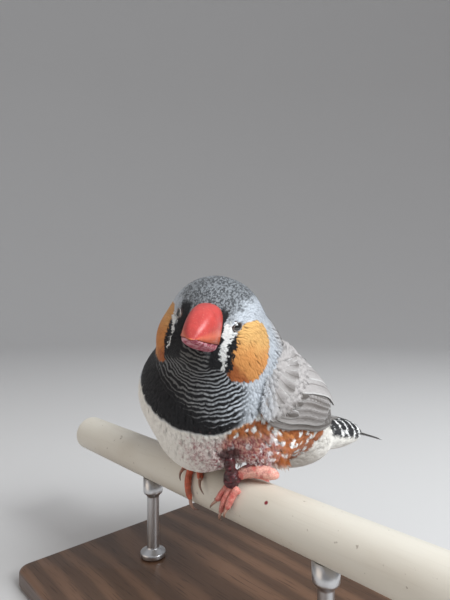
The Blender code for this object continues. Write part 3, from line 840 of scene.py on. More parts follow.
@cache
def coat_roots():
    """Where every soft feather is rooted, with its lie towards the tail and the way straight out."""
    rng = np.random.default_rng(7)
    _, angle, places, _ = skin_grid()
    down = places[1:, :-1] - places[:-1, :-1]
    across = places[:-1, 1:] - places[:-1, :-1]
    area = np.linalg.norm(np.cross(down, across), axis=-1)
    wanted = np.cumsum((area / feather_spacing(places[:-1, :-1]) ** 2).ravel())
    cell = np.searchsorted(wanted, rng.random(int(wanted[-1] * CROWD)) * wanted[-1])
    row, column = np.divmod(cell, area.shape[1])
    row = row + rng.random(len(cell))
    column = column + rng.random(len(cell))
    roots = between(places, row, column)
    kept = spread_evenly(roots, feather_spacing(roots) * OVERLAP)
    row, column, roots = row[kept], column[kept], roots[kept]
    after, before = np.minimum(row + 1, SKIN_ROWS - 1.001), np.maximum(row - 1, 0)
    lie = between(places, after, column) - between(places, before, column)
    out = slope(coat_field, roots)
    flat = np.stack([between(angle, row, column) / (2 * pi), row / (SKIN_ROWS - 1)], -1)
    return {"root": roots, "lie": lie, "out": out, "flat": flat, "size": feather_spacing(roots)}


# How one kind of soft feather is built: its proportions, its barbs, and how tidily it lies
Style = namedtuple("Style", "length width barbs rows lift tousle splay")
STYLES = {
    "face": Style(2.6, 0.66, 8, 3, 0.00, 0.03, 6),
    "crown": Style(3.0, 0.72, 10, 3, 0.00, 0.03, 6),
    "cheek": Style(5.2, 0.62, 12, 4, 0.00, 0.01, 4),
    "throat": Style(3.0, 0.80, 12, 4, 0.01, 0.03, 4),
    "neck": Style(3.2, 0.80, 16, 4, 0.01, 0.03, 4),
    "breast": Style(3.1, 0.84, 18, 4, 0.02, 0.04, 5),
    "belly": Style(4.0, 0.95, 20, 4, 0.02, 0.05, 6),
    "flank": Style(3.8, 0.86, 18, 5, 0.05, 0.14, 10),
    "vent": Style(4.8, 0.92, 20, 4, 0.02, 0.04, 5),
    "back": Style(3.2, 0.92, 20, 4, 0.02, 0.03, 4),
    "rump": Style(4.8, 0.80, 20, 5, 0.02, 0.04, 4),
    "tuft": Style(3.4, 0.62, 18, 5, 0.00, 0.50, 10),
    "covert": Style(2.6, 0.86, 16, 4, 0.03, 0.05, 5),
}


def style_names(roots):
    """The kind of feather at each root, from where it is on the head or the body."""
    head = to_head(roots)
    near_bill, ring = from_bill(roots), from_bars(roots)
    x, y, z = roots.T
    side, head_y, head_z = np.abs(head[:, 0] - MIDDLE_LINE), head[:, 1], head[:, 2]
    in_cheek = cheek_oval(cheek_back(side, head_y, head_z), head_z) < 1.1
    kinds = (
        ("cheek", in_cheek & (side > TEAR_LINE) & (near_bill < 18)),
        ("face", near_bill < 6.5),
        ("crown", (head_z > -3.5) & (near_bill < 21)),
        ("throat", near_bill < 10),
        ("breast", (ring < BAND_EDGE + 0.5) & (y < -5.0)),
        ("neck", near_bill < BAND_EDGE + 2),
        ("vent", (y > 14) & (z < 9 - 0.1 * (y - 14))),
        ("rump", (y > 34) & (z > 8 - 0.1 * (y - 14))),
        ("back", (z + 0.42 * y > 21.5) & (y > 0)),
        ("flank", (np.abs(x) > 7) & (z < 24) & (y < 30) & (z > 5.5)),
        ("vent", y > 34),
    )
    return np.select([chosen for _, chosen in kinds], [kind for kind, _ in kinds], "belly")


def barb_lines(barbs, rows):
    """The middle lines of a feather's barbs, for a feather one long and one half width wide. Each leaves
    the shaft well before the place on the oval outline that it ends at, and bends forward on the way."""
    side = np.where(np.arange(barbs) % 2, 1.0, -1.0)
    turned = np.linspace(0.28, 0.97, barbs)
    end_along = 0.55 - 0.45 * np.cos(pi * turned)
    end_across = side * np.sin(pi * turned) ** 0.75
    t = np.linspace(0, 1, rows)[None, :]
    along = end_along[:, None] * (0.62 + 0.38 * t)
    across = end_across[:, None] * (1 - (1 - t) ** 1.5)
    return along, across


def eye_middles():
    """Where each eye shows on the coat, its outward axis, and the long and short axes of its opening."""
    found = []
    for side in (1, -1):
        axis = unit(np.array(EYE_AXIS) * [side, 1, 1])
        back = unit(np.cross(axis, [0, 0, 1.0]) * -side)
        up = np.cross(axis, back) * side
        slant = radians(EYE_SLANT)
        long_axis = cos(slant) * back + sin(slant) * up
        short_axis = cos(slant) * up - sin(slant) * back
        middle = np.array([side * EYE_AT[0], EYE_AT[1], EYE_AT[2]])
        found.append([from_head(middle), *(part @ HEAD_TURN.T for part in (axis, long_axis, short_axis))])
    return found


def clear_of_face(roots, lie, length):
    """Which feathers are rooted outside the bill and don't reach over an eye's opening."""
    head = to_head(roots)
    across = (head[:, 0] - BILL_SIDE) / (BILL_HALF_WIDTH - 0.2)
    up = (head[:, 2] - GAPE_ROOT) / (np.where(head[:, 2] > GAPE_ROOT, BILL_UPPER, BILL_LOWER) - 0.25)
    clear = (across**2 + up**2 >= 1) | (head[:, 1] >= -4)
    for middle, axis, long_axis, short_axis in eye_middles():
        centre = middle + axis * EYE_RADIUS
        share = np.clip(((centre - roots) * lie).sum(-1) / length, 0, 1)
        near = roots + lie * (share * length)[:, None] - centre
        along = near @ long_axis / (EYE_OPENING[0] + EYE_MARGIN)
        up = near @ short_axis / (EYE_OPENING[1] + EYE_MARGIN)
        clear &= (along**2 + up**2 > 1) | (np.abs(near @ axis) > 2.5)
    return clear


def settle(field, places, out, level):
    """Moves places along a given way until the field reads the level there, in three tries."""
    for _ in range(3):
        places = places + out * (level - field(places))[..., None]
    return places


def feathers(name, roots, style, seed, finish, field, depth, sink=0.0, follow=0.5):
    """One mesh of soft feathers. A barb is a strip that tapers along its middle line, and each feather
    rises from the skin at its root to the coat's outer surface, a little arched across and a little
    tousled. It is shaded as if its web were one soft curved face, and it takes the markings of its middle,
    or of each place on it as far as it follows them. With no field it stands straight off its root."""
    rng = np.random.default_rng(seed)
    root, out, flat = roots["root"], roots["out"], roots["flat"]
    count = len(root)
    size = roots["size"] * np.exp(rng.normal(0, 0.08, count))
    length, width = (each[:, None, None, None] for each in (size * style.length, size * style.width))
    lie = unit(roots["lie"] - (roots["lie"] * out).sum(-1, keepdims=True) * out)
    swing = radians(1) * rng.normal(0, style.splay, count)[:, None]
    lie = np.cos(swing) * lie + np.sin(swing) * np.cross(lie, out)
    lie, root, out, across_way, flat, depth = (
        each.reshape(count, 1, 1, 1, -1) for each in (lie, root, out, np.cross(lie, out), flat, depth)
    )

    along, across = barb_lines(style.barbs, style.rows)
    stray = 1 + rng.normal(0, 0.07, (count, style.barbs, 1)) * np.linspace(0, 1, style.rows)
    along = along * length[..., 0] * stray
    across = across * width[..., 0] * (1 + rng.normal(0, 0.10, (count, style.barbs, 1)))
    ahead, aside = np.gradient(along, axis=2), np.gradient(across, axis=2)
    run = np.hypot(ahead, aside)
    half = BARB_WIDTH * length[..., 0] / style.barbs * np.linspace(1, BARB_TIP, style.rows) ** 0.8
    edge = np.array([-1.0, 1.0])
    along = along[..., None] - (aside / run * half)[..., None] * edge
    across = across[..., None] + (ahead / run * half)[..., None] * edge

    t = np.clip(along / length, 0, 1.1)
    rise = 1 - (1 - np.minimum(t * 1.25, 1)) ** 2
    height = rise * (depth[..., 0] + style.lift) - depth[..., 0]
    height = height - CAMBER * across**2 / width + BARB_TILT * edge
    height = height - np.reshape(sink, (-1, 1, 1, 1)) * (1 - 0.2 * t)
    stands = rng.random((count, 1, 1, 1)) * style.tousle
    height += t**2 * (stands + rng.random((count, style.barbs, 1, 1)) * 0.04)
    places = root + lie * along[..., None] + across_way * across[..., None]
    places = settle(field, places, out, height) if field else places + out * height[..., None]
    soft = out + across_way * (0.30 * across / width)[..., None] + lie * (0.20 * t - 0.1)[..., None]
    soft = unit(soft + 0.05 * rng.normal(0, 1, (count, 1, 1, 1, 3)) + 0 * places)

    middle = root + lie * 0.72 * length[..., None]
    marked = middle + (places - middle) * follow
    vane = np.stack([0.5 + across / (2.6 * width), t], -1)
    maps = {"OFBake": flat + BAKE_PATCH * (vane - 0.5), "vane": vane}
    facts = {"body_at": marked, "head_at": to_head(marked), "tone": rng.random((count, 1, 1, 1)) + 0 * t}
    make_piece(name, places, finish, (), maps, facts, weld=False, soft=soft)


def take(roots, chosen):
    return {key: values[chosen] for key, values in roots.items()}


def add_feathers(kinds):
    """The pieces of coat of these kinds, each in as many meshes as keep it under the limit of triangles."""
    roots = coat_roots()
    lie = unit(roots["lie"])
    names = style_names(roots["root"] + lie * 0.5)
    clear = clear_of_face(roots["root"], lie, roots["size"] * 3) & (roots["flat"][:, 1] < COAT_END)
    for kind in kinds:
        style = STYLES[kind]
        chosen = np.flatnonzero((names == kind) & clear)
        shares = int(len(chosen) * style.barbs * (style.rows - 1) * 2 // MOST_TRIANGLES) + 1
        field = sheath_field if kind in ("rump", "vent") else coat_field
        for number, share in enumerate(np.array_split(chosen, shares), 1):
            name = f"coat_{kind}" + (f"_{number}" if shares > 1 else "")
            some = take(roots, share)
            depth, follow = coat_depth(some["root"]), MARKS_FOLLOWED.get(kind, 0.5)
            feathers(name, some, style, 100 + number, PlumageFinish, field, depth, 0.0, follow)


def add_tuft():
    """A loose tuft over the left leg's upper end: the coat's own roots there, longer and hanging down."""
    rng = np.random.default_rng(17)
    roots = coat_roots()
    away = np.min([np.linalg.norm(roots["root"] - place, axis=-1) for place in TUFT_FROM], axis=0)
    some = take(roots, np.flatnonzero(away < TUFT_RADIUS))
    count = len(some["root"])
    some["lie"] = unit(np.array(TUFT_WAY) + rng.normal(0, 0.28, (count, 3)))
    some["out"] = unit(TUFT_FACE - (some["lie"] @ TUFT_FACE)[:, None] * some["lie"])
    some["size"] = some["size"] * rng.uniform(0.7, 1.1, count)
    feathers("coat_tuft", some, STYLES["tuft"], 18, PlumageFinish, None, np.full(count, 0.2), -0.1, 0.2)


# The folded wings

WING_ROWS, WING_COLUMNS = 90, 60
WING_LOWER = (0, 0.08, 0.25, 0.46, 0.62, 0.80, 1), (104, 121, 118, 103, 95, 76, 34)
WING_UPPER = (0, 0.08, 0.25, 0.60, 0.85, 1), (84, 50, 24, 12, 16, 27)
WING_SUNK = 1.9
COVERT_DEPTH = 0.55
BED_ROWS, BED_COLUMNS = 60, 36


@cache
def wing_grid(side):
    """The room of a folded wing as two grids, its inner and its outer face, from the shoulder to the tip
    and from the upper to the lower edge, with the arc between the edges. It is the same room as the CAD
    wing's."""
    rows, columns = np.linspace(0, 1, WING_ROWS), np.linspace(0, 1, WING_COLUMNS)
    share, across = np.meshgrid(rows, columns, indexing="ij")
    lower, upper = np.radians(np.interp(share, *WING_LOWER)), np.radians(np.interp(share, *WING_UPPER))
    along = WING_FRONT + (WING_TIP - WING_FRONT) * share
    place, ray = rays(along, side * (upper + (lower - upper) * across))
    inner = reach(coat_field, place, ray) + WING_CLEARANCE
    room = reach(wing_field, place, ray) - inner - WING_EDGE
    rim = np.sin(pi * share) ** 0.35 * np.sin(pi * across) ** 0.5
    outer = inner + WING_EDGE + np.maximum(room, 0) * rim
    inner, outer = place + ray * inner[..., None], place + ray * outer[..., None]
    arc = np.linalg.norm(np.diff(outer, axis=1), axis=-1).sum(1)
    return inner, outer, arc


def on_wing(side, share, across, height):
    """Places in the wing's room. The height is 0 at its inner face and 1 at its outer one."""
    inner, outer, _ = wing_grid(side)
    row = np.clip(share, 0, 1) * (WING_ROWS - 1)
    column = np.clip(across, 0, 1) * (WING_COLUMNS - 1)
    low, high = between(inner, row, column), between(outer, row, column)
    return low + (high - low) * height[..., None] - unit(high - low) * wing_sink(share, across)[..., None]


def wing_sink(share, across):
    """How far the wing is let down into the coat at its front and along its upper edge."""
    return WING_SUNK * np.maximum(1 - smooth(share, -0.05, 0.24), 1 - smooth(across, -0.06, 0.24))


# One kind of wing quill: how many, and where the first and the last of them lie in the wing's room
QuillSet = namedtuple("QuillSet", "count base tip half_width level dark")
QUILLS = {
    "primaries": QuillSet(
        8, ((0.10, 0.94), (0.14, 0.80)), ((0.99, 0.90), (0.80, 0.60)), (1.25, 1.6), (0.14, 0.30), 0.85
    ),
    "secondaries": QuillSet(
        6, ((0.14, 0.84), (0.20, 0.60)), ((0.62, 0.86), (0.76, 0.62)), (2.0, 2.5), (0.38, 0.50), 0.5
    ),
    "tertials": QuillSet(
        3, ((0.22, 0.60), (0.20, 0.34)), ((0.86, 0.50), (0.62, 0.22)), (3.2, 3.8), (0.80, 0.94), 0.15
    ),
    "greater": QuillSet(
        8, ((0.06, 0.84), (0.12, 0.28)), ((0.38, 0.84), (0.50, 0.32)), (1.3, 2.5), (0.62, 0.80), 0.65
    ),
    "median": QuillSet(
        6, ((0.04, 0.86), (0.08, 0.26)), ((0.24, 0.90), (0.33, 0.28)), (1.7, 2.2), (0.84, 0.98), 0.40
    ),
}
VANE_ACROSS = np.array([-1, -0.75, -0.45, -0.18, -0.05, 0, 0.05, 0.2, 0.5, 0.78, 1])
VANE_ROWS = 18
VANE_THICKNESS = 0.05


def vane_outline(t):
    """A quill's width along it: narrow at the root, full from a third on, and an oval's end at the tip."""
    return (0.35 + 0.65 * smooth(t, 0.0, 0.35)) * np.clip(1 - t**7, 0, 1) ** 0.5


def vane_section():
    """Places across and up a closed vane's section, over the shaft's ridge and back underneath."""
    top = 0.04 * (1 - VANE_ACROSS**2) + 0.035 * hump(VANE_ACROSS, 0, 0.05)
    under = VANE_ACROSS[::-2]
    across = np.concatenate([VANE_ACROSS, under, VANE_ACROSS[:1]])
    up = np.concatenate([top, 0.08 * (1 - under**2) - VANE_THICKNESS, top[:1]])
    return across, up


def add_quills(side, name, kinds, replaced=()):
    """Closed thin vanes with a shaft, laid over each other in the wing's room, the uppermost on top. A
    vane's middle runs from its root to its tip, and its webs are measured in millimetres."""
    rng = np.random.default_rng(41)
    _, _, arc = wing_grid(side)
    t = np.linspace(0, 1, VANE_ROWS)[:, None] ** 0.9
    c, lift = vane_section()
    web = np.where(c < 0, 1.25, 0.75)
    places, dark, tone = [], [], []
    for kind in kinds:
        quills = QUILLS[kind]
        for step in np.linspace(0, 1, quills.count):
            base, tip = (
                (1 - step) * np.array(pair[0]) + step * np.array(pair[1]) + rng.normal(0, 0.012, 2)
                for pair in (quills.base, quills.tip)
            )
            width = quills.half_width[0] + (quills.half_width[1] - quills.half_width[0]) * step
            level = quills.level[0] + (quills.level[1] - quills.level[0]) * step
            share = base[0] + (tip[0] - base[0]) * t + 0 * c
            room = np.interp(share, np.linspace(0, 1, WING_ROWS), arc)
            half = np.minimum(width * vane_outline(t), 0.42 * room)
            middle = np.minimum(base[1] + (tip[1] - base[1]) * t**1.3, 1 - 0.76 * half / room)
            share = share - 0.020 * np.abs(c) ** 1.5 * (1 - t)
            height = level - 0.25 * (1 - smooth(t, 0, 0.35)) + 0 * c
            spot = on_wing(side, share, middle + c * web * half / room, height)
            places.append(spot + slope(wing_field, spot) * (lift * np.clip(half, 0.2, 1.2))[..., None])
            dark.append(np.full(height.shape, quills.dark))
            tone.append(np.full(height.shape, rng.random()))
    places = np.stack(places)
    count, _, columns = places.shape[:3]
    vane = together(0.5 + 0.5 * c, t)
    ring = together(np.arange(columns) / (columns - 1), t)
    cell = np.stack(np.divmod(np.arange(count), 8), -1)[:, None, None, :]
    maps = {"OFBake": (cell + 0.05 + 0.9 * ring) / 8, "vane": np.broadcast_to(vane, places.shape[:-1] + (2,))}
    make_piece(name, places, QuillFinish, replaced, maps, {"dark": np.stack(dark), "tone": np.stack(tone)})


class QuillFinish(Finish):
    """Wing quills: mouse grey, darker along the shaft and to the tip, with a pale fringe and barbs."""

    name = "quills"
    constants = {"Roughness": 0.55, "Sheen Weight": 0.10, "Specular IOR Level": 0.35}

    def paint(self, colours):
        across, along = self.vane()
        dark, tone = self.fact("dark"), self.fact("tone")
        out = abs(across - 0.5) * 2
        place = self.place()
        cloudy = self.noise(place, 420) - 0.5
        streak = self.noise(self.stretch(place, (1, 0.35, 1)), 2600) - 0.5
        strand = {0: along * 46 - out * 12, 1: across * 2.5, 2: tone * 40}
        fibre = self.noise(self.node("ShaderNodeCombineXYZ", {}, strand), 1.0) - 0.5
        centre = self.rises(out + cloudy * 0.5, 0.85, 0.10) * self.rises(along, 0.15, 0.7)
        fringe = self.rises(out + cloudy * 0.16, 0.80, 0.96)
        deep = centre * (dark * 1.05 + 0.10) * (tone * 0.8 + 0.5) + dark * dark * 0.85
        deep = deep + streak * 0.35 + cloudy * 0.3 + fibre * 0.4
        colour = self.mix(deep, colours.mantle, colours.quill)
        colour = self.mix(fringe * (0.75 - dark * 0.45), colour, colours.white)
        colour = self.mix(self.rises(out, 0.07, 0.02) * 0.6, colour, colours.quill)
        self.colour(self.shade(colour, tone * 0.16 + 0.90))
        barbs = self.sine((along * 34 - out * 9) * (2 * pi))
        self.bump(barbs + streak * 2 + fibre * 2, 0.6, 0.00005)


class CovertFinish(SoftFinish):
    """Soft feathers of the shoulder and the wing's upper edge: the back's grey with small dark centres."""

    name = "coverts"

    def paint(self, colours):
        across, along = self.vane()
        tone = self.fact("tone")
        body = self.fact("body_at", True)
        _, y, z = self.parts(body)
        wander = self.noise(body, 0.30) - 0.5
        front = self.rises(y + wander * 4, 2.5, -3.0)
        colour = self.mix(front * 0.7, colours.mantle, colours.nape)
        spot = self.rises(abs(across - 0.5) + wander * 0.2, 0.26, 0.10) * self.rises(along, 0.3, 0.8)
        far_back = self.rises(y + wander * 5, 0.0, 5.0) * self.rises(z + y * 0.42, 27.0, 23.0)
        centre = spot * self.rises(tone, 0.25, 0.8) * (far_back * 0.75 + 0.08)
        colour = self.mix(centre, colour, colours.quill)
        # Painted shade: each feather is darker towards its root, where the feathers over it would shade it,
        # with a random tone on top.
        self.colour(self.shade(colour, self.rises(along, 0.05, 0.75) * 0.26 + 0.74 + tone * 0.12))
        self.barbs(across, along)


def add_wing_bed(side, name):
    """A thin closed slab under the quills, along the wing's inner face."""
    rows, columns = np.linspace(0.01, 0.985, BED_ROWS), np.linspace(0.02, 0.98, BED_COLUMNS)
    share, across = np.meshgrid(rows, columns, indexing="ij")
    low = on_wing(side, share, across, np.full(share.shape, -0.15))
    high = on_wing(side, share, across, 0.05 * np.sin(pi * share) ** 0.3 * np.sin(pi * across) ** 0.4)
    places = closed(np.concatenate([high, low[:, ::-1], high[:, :1]], axis=1))
    shape = places.shape[:2]
    maps = {"OFBake": tube_map(places), "vane": np.full((*shape, 2), 0.4)}
    facts = {"dark": np.full(shape, 0.6), "tone": np.full(shape, 0.4)}
    make_piece(name, places, QuillFinish, (), maps, facts)


def covert_roots(side, seed):
    """Roots for soft feathers over the shoulder and along the wing's upper edge, spread evenly."""
    rng = np.random.default_rng(seed)
    share, across = rng.random((2, 9000))
    share = share * 0.66 - 0.04
    reach_down = np.interp(share, (0, 0.12, 0.22, 0.32, 0.45, 0.62), (1.06, 1.05, 0.86, 0.52, 0.28, 0.14))
    across = across * reach_down - 0.06
    roots = on_wing(side, share, across, np.full(share.shape, 0.2))
    kept = spread_evenly(roots, np.interp(share, (0, 0.3, 0.62), (0.62, 0.95, 1.15)))
    share, across, roots = share[kept], across[kept], roots[kept]
    height = np.full(share.shape, 0.2)
    lie = on_wing(side, share + 0.03, across, height) - on_wing(side, share - 0.03, across, height)
    flat = np.stack([(side * (20 + 98 * across) / 360) % 1, 0.2 + share * 0.6], -1)
    size = np.interp(share, (0, 0.3, 0.62), (0.85, 1.25, 1.5))
    out, sink = slope(wing_field, roots), wing_sink(share, across)
    return {"root": roots, "lie": lie, "out": out, "flat": flat, "size": size, "sink": sink}


def add_wing(side, name):
    """One folded wing from the inside out: the bed, the quills, their coverts and the soft coverts."""
    add_wing_bed(side, f"{name}_bed")
    add_quills(side, f"{name}_quills", ("primaries", "secondaries", "tertials"), (name,))
    add_quills(side, f"{name}_coverts", ("greater", "median"))
    roots = covert_roots(side, 60)
    depth = np.full(len(roots["root"]), COVERT_DEPTH)
    feathers(f"{name}_soft", roots, STYLES["covert"], 61, CovertFinish, wing_field, depth, roots["sink"])


# Tubes, and the tail, bill, eyes and feet


def tube(path, radii, up, around=16, flat=1.0):
    """Rings round a path, each a place plus its radius times (cos a up + sin a side), drawn to a point at
    both ends. The radii may change along and round the path, and flat makes the sides narrower."""
    ahead = unit(np.gradient(path, axis=0))
    side = unit(np.cross(ahead, up))
    up = np.cross(side, ahead)
    angle = circle(around)[:, None]
    radii = radii.reshape(len(path), -1) * np.ones(around + 1)
    rings = np.cos(angle) * up[:, None, :] + flat * np.sin(angle) * side[:, None, :]
    rings = path[:, None, :] + radii[..., None] * rings
    ends = [np.broadcast_to(path[end], (1, around + 1, 3)) for end in (0, -1)]
    return np.concatenate([ends[0], rings, ends[1]])


def round_ends(t, power):
    """1 along the middle of a tube, and down to 0 at both its ends: the root of 1 - |2t - 1| to a power."""
    return np.sqrt(np.clip(1 - np.abs(2 * t - 1) ** power, 0, 1))


def tube_map(places):
    """Round and along a tube, each from 0 to 1."""
    rows, columns = places.shape[-3:-1]
    around_and_along = together(np.linspace(0, 1, columns), np.linspace(0, 1, rows)[:, None])
    return np.broadcast_to(around_and_along, places.shape[:-1] + (2,))


def add_tubes(name, tubes, finish, replaced=(), facts=None):
    """Closed tubes of one grid size as one mesh, with the place round and along each as a UV map."""
    places = np.stack(tubes)
    make_piece(name, places, finish, replaced, {"vane": tube_map(places)}, facts)


TAIL_QUILLS, TAIL_SUNK = 10, 0.45


def add_tail():
    """The tail's quills: closed thin vanes from the root to the tip, the middle pair on top, each pair
    lower and wider apart. They fan a little and bend down towards their tips."""
    rng = np.random.default_rng(5)
    t = np.linspace(0, 1, VANE_ROWS)[:, None]
    c, lift = vane_section()
    across = np.array([1.0, 0, 0])
    root = TAIL_ROOT + TAIL_SUNK * (TAIL_ROOT - TAIL_TIP)
    way = TAIL_TIP - root
    up = unit(np.cross(across, way))
    places = []
    for number in range(TAIL_QUILLS):
        pair, side = number // 2, 1 if number % 2 else -1
        spread = side * (0.35 + 0.85 * pair) * (0.55 + 0.45 * t)
        half = (1.5 - 0.05 * pair) * vane_outline(t)
        reach_back = 1.0 - 0.035 * pair + rng.normal(0, 0.006)
        drop = 0.75 - 0.17 * pair - 0.10 * t * abs(spread)
        spot = root + way * (t * reach_back)[..., None] + across * (spread + c * half)[..., None]
        places.append(spot + up * (drop * (1 - 0.55 * t) + lift * 0.7 + 0 * c)[..., None])
    places = np.stack(places)
    vane = np.broadcast_to(together(0.5 + 0.5 * c, t), places.shape[:-1] + (2,))
    tone = np.broadcast_to(rng.random((TAIL_QUILLS, 1, 1)), places.shape[:-1])
    make_piece("tail_quills", places, TailFinish, ("tail",), {"OFBake": vane, "vane": vane}, {"tone": tone})


BILL_ROWS, BILL_COLUMNS = 44, 56
EYE_ROWS, EYE_COLUMNS = 40, 48
LID_ROWS, LID_COLUMNS = 26, 96


def bill_grid(is_upper):
    """One mandible: half ovals above or below the gape, drawn in along it by powers of the share of the
    length, from the root to the tip, with a ridge along the top and a rolled cutting edge."""
    share = np.sin(np.linspace(0, 0.99, BILL_ROWS) * pi / 2)[:, None]
    angle = circle(BILL_COLUMNS)
    width = BILL_HALF_WIDTH * (1 - share**3.2) ** 0.66
    if is_upper:
        way, gap, hook = 1, 0.04, 0.35
        rise = BILL_UPPER * (1 - share**2.3) ** 0.80
    else:
        way, gap, hook = -1, 0.06, 0.0
        rise = BILL_LOWER * (1 - share**1.9) ** 0.85
        width = width * LOWER_BILL_SHARE
    across = np.sign(np.cos(angle)) * np.abs(np.cos(angle)) ** BILL_SQUARE
    up = np.abs(np.sin(angle)) ** BILL_SQUARE
    outer = np.sin(angle) > 0
    ridge = 0.02 * hump(across, 0, 0.30) * rise * (1 - share)
    lip = 0.10 * np.sin(pi * share) * hump(up, 0, 0.16)
    growth_lines = 0.012 * np.sin(share * 95 + 2.2 * across) * (1 - share) * outer
    height = np.where(outer, rise * up + ridge, 0.0) + growth_lines
    gape = GAPE_ROOT - GAPE_DROP * share**1.3 + 0.10 * np.sin(share * 5.2)
    side = BILL_SIDE + width * (1 + lip * 0.25) * across
    ahead = BILL_ROOT + (BILL_TIP - BILL_ROOT) * share
    level = gape + way * gap + way * height - hook * smooth(share, 0.90, 1.0) * outer
    return closed(from_head(together(side, ahead, level)))


def add_bill():
    for node, is_upper in (("bill_upper", True), ("bill_lower", False)):
        places = bill_grid(is_upper)
        facts = {"head_at": to_head(places), "upper": np.full(places.shape[:-1], float(is_upper))}
        add_tubes(f"{node}_horn", [places], BillFinish, (node,), facts)


def add_eyes():
    """Each eyeball is a sphere with a slightly steeper cornea, whose poles lie on the eye's axis."""
    turned = np.linspace(0, pi, EYE_ROWS)[:, None]
    angle = circle(EYE_COLUMNS)[:, None]
    for name, (middle, axis, long_axis, short_axis) in zip(("left", "right"), eye_middles()):
        ring = np.cos(angle) * long_axis + np.sin(angle) * short_axis
        way = np.cos(turned)[..., None] * axis + np.sin(turned)[..., None] * ring
        places = middle + EYE_RADIUS * (1 + CORNEA * hump(turned, 0, 0.35))[..., None] * way
        facts = {"from_axis": EYE_RADIUS * np.sin(turned) + 0 * angle.T}
        add_tubes(f"eyeball_{name}", [places], EyeFinish, (f"eye_{name}",), facts)


def lid_field(places):
    return coat_field(places) + LID_DEPTH


def add_lids():
    """The rims of the eyes: from an almond opening on the eyeball, over a rolled edge and two fine folds,
    out to the skin. The reach from the eyeball's middle is eased from its radius to where the skin lies."""
    share = np.linspace(0, 1, LID_ROWS)[:, None]
    angle = circle(LID_COLUMNS)
    c, s = np.cos(angle), np.sin(angle)
    tubes = []
    for middle, axis, long_axis, short_axis in eye_middles():
        inner_long, inner_short = EYE_SLIT[0] * c, EYE_SLIT[1] * s * np.abs(s) ** 0.35
        along = inner_long + (LID_SIZE[0] * c - inner_long) * share
        up = inner_short + (LID_SIZE[1] * s - inner_short) * share
        way = unit(axis * EYE_RADIUS + along[..., None] * long_axis + up[..., None] * short_axis)
        to_skin = reach(lid_field, np.broadcast_to(middle, way.shape), way)
        ease = smooth(share, 0.15, 0.75)
        folds = 0.045 * hump(share, 0.34, 0.05) + 0.035 * hump(share, 0.56, 0.06)
        beads = 0.022 * np.sin(angle * 26) * hump(share, 0.13, 0.08)
        rolled = 0.20 * np.sqrt(np.clip(1 - (share / LID_ROLL - 1) ** 2, 0, 1))
        rim = EYE_RADIUS + 0.03 + np.where(share < LID_ROLL, rolled, 0.20)
        far = rim * (1 - ease) + np.maximum(to_skin, EYE_RADIUS + 0.06) * ease + folds + beads
        far = far - LID_TUCK * smooth(share, 0.8, 1.0)
        front = middle + far[..., None] * way
        back = middle + (far[-1:] - 0.35)[..., None] * way[-1:]
        inside = middle + (EYE_RADIUS - 0.25) * way[:1]
        tubes.append(np.concatenate([inside, front, back, inside]))
    add_tubes("eyelids", tubes, LidFinish, (), {"head_at": to_head(np.stack(tubes))})


TOES = {
    "right": {
        "toe_1": ((-5.2, -5.6), (-30, -92), 34),
        "toe_2": ((-3.2, 0.2), (24, 60), 24),
        "toe_3": ((-5.0, -2.7), (20, 112), 30),
        "toe_4": ((-6.8, -6.4), (24, 54), 24),
    },
    "left": {
        "toe_1": ((10.8, 11.2), (-30, -92), 34),
        "toe_2": ((12.5, 10.4), (60, 92), 22),
        "toe_3": ((10.8, 7.7), (58, 104), 24),
        "toe_4": ((9.0, 6.0), (64, 84), 22),
    },
}
TARSI = {
    "right": (
        ((-5.6, -5.0, 4.4), (-5.1, -3.4, 6.2), (-4.6, -1.0, 7.4), (-4.4, 1.0, 7.4)),
        (0.85, 1.15, 1.2, 1.0),
    ),
    "left": (
        ((9.4, -3.6, 5.6), (11.2, -1.8, 6.9), (13.8, -0.5, 7.3), (16.0, 0.6, 7.2), (17.4, 1.6, 6.8)),
        (1.0, 1.35, 1.45, 1.25, 0.75),
    ),
}
TOE_RADIUS, CLAW_RADIUS, CLAW_TIP_RADIUS, CLAW_ARCH = 0.7, 0.45, 0.14, 0.5
TOE_SWELL = (1.25, 1.30, 1.10, 1.02, 1.08, 0.95, 0.92, 0.66)
LEFT_TOES_BACK, LEFT_FOOT_X, LEFT_TOES_CLOSE = 16, 8.2, 0.72
TOE_RUN = PERCH_RADIUS + GAP + TOE_RADIUS
TOE_ROWS, CLAW_ROWS, LEG_ROWS, CLOT_ROWS = 72, 22, 60, 70
TOE_COLUMNS, CLAW_COLUMNS, LEG_COLUMNS, CLOT_COLUMNS = 20, 12, 28, 56
TOE_SCALE = 0.55
CLOT_PATH = ((9.4, -4.6, 3.6), (9.8, -4.7, 6.0), (10.1, -5.4, 8.6), (10.4, -6.2, 11.2))
CLOT_RADII = (0, 0.12, 0.28, 0.45, 0.6, 0.8, 1), (0.5, 1.45, 1.75, 1.45, 1.05, 1.2, 1.0)


def on_perch(x, degrees, radius):
    """Places round the perch, at an angle from its top towards its front, and the way out from its axis."""
    out = np.stack([0 * degrees, -np.sin(np.radians(degrees)), np.cos(np.radians(degrees))], -1)
    return out * np.reshape(radius, (-1, 1)) + np.stack([x, 0 * x, 0 * x], -1), out


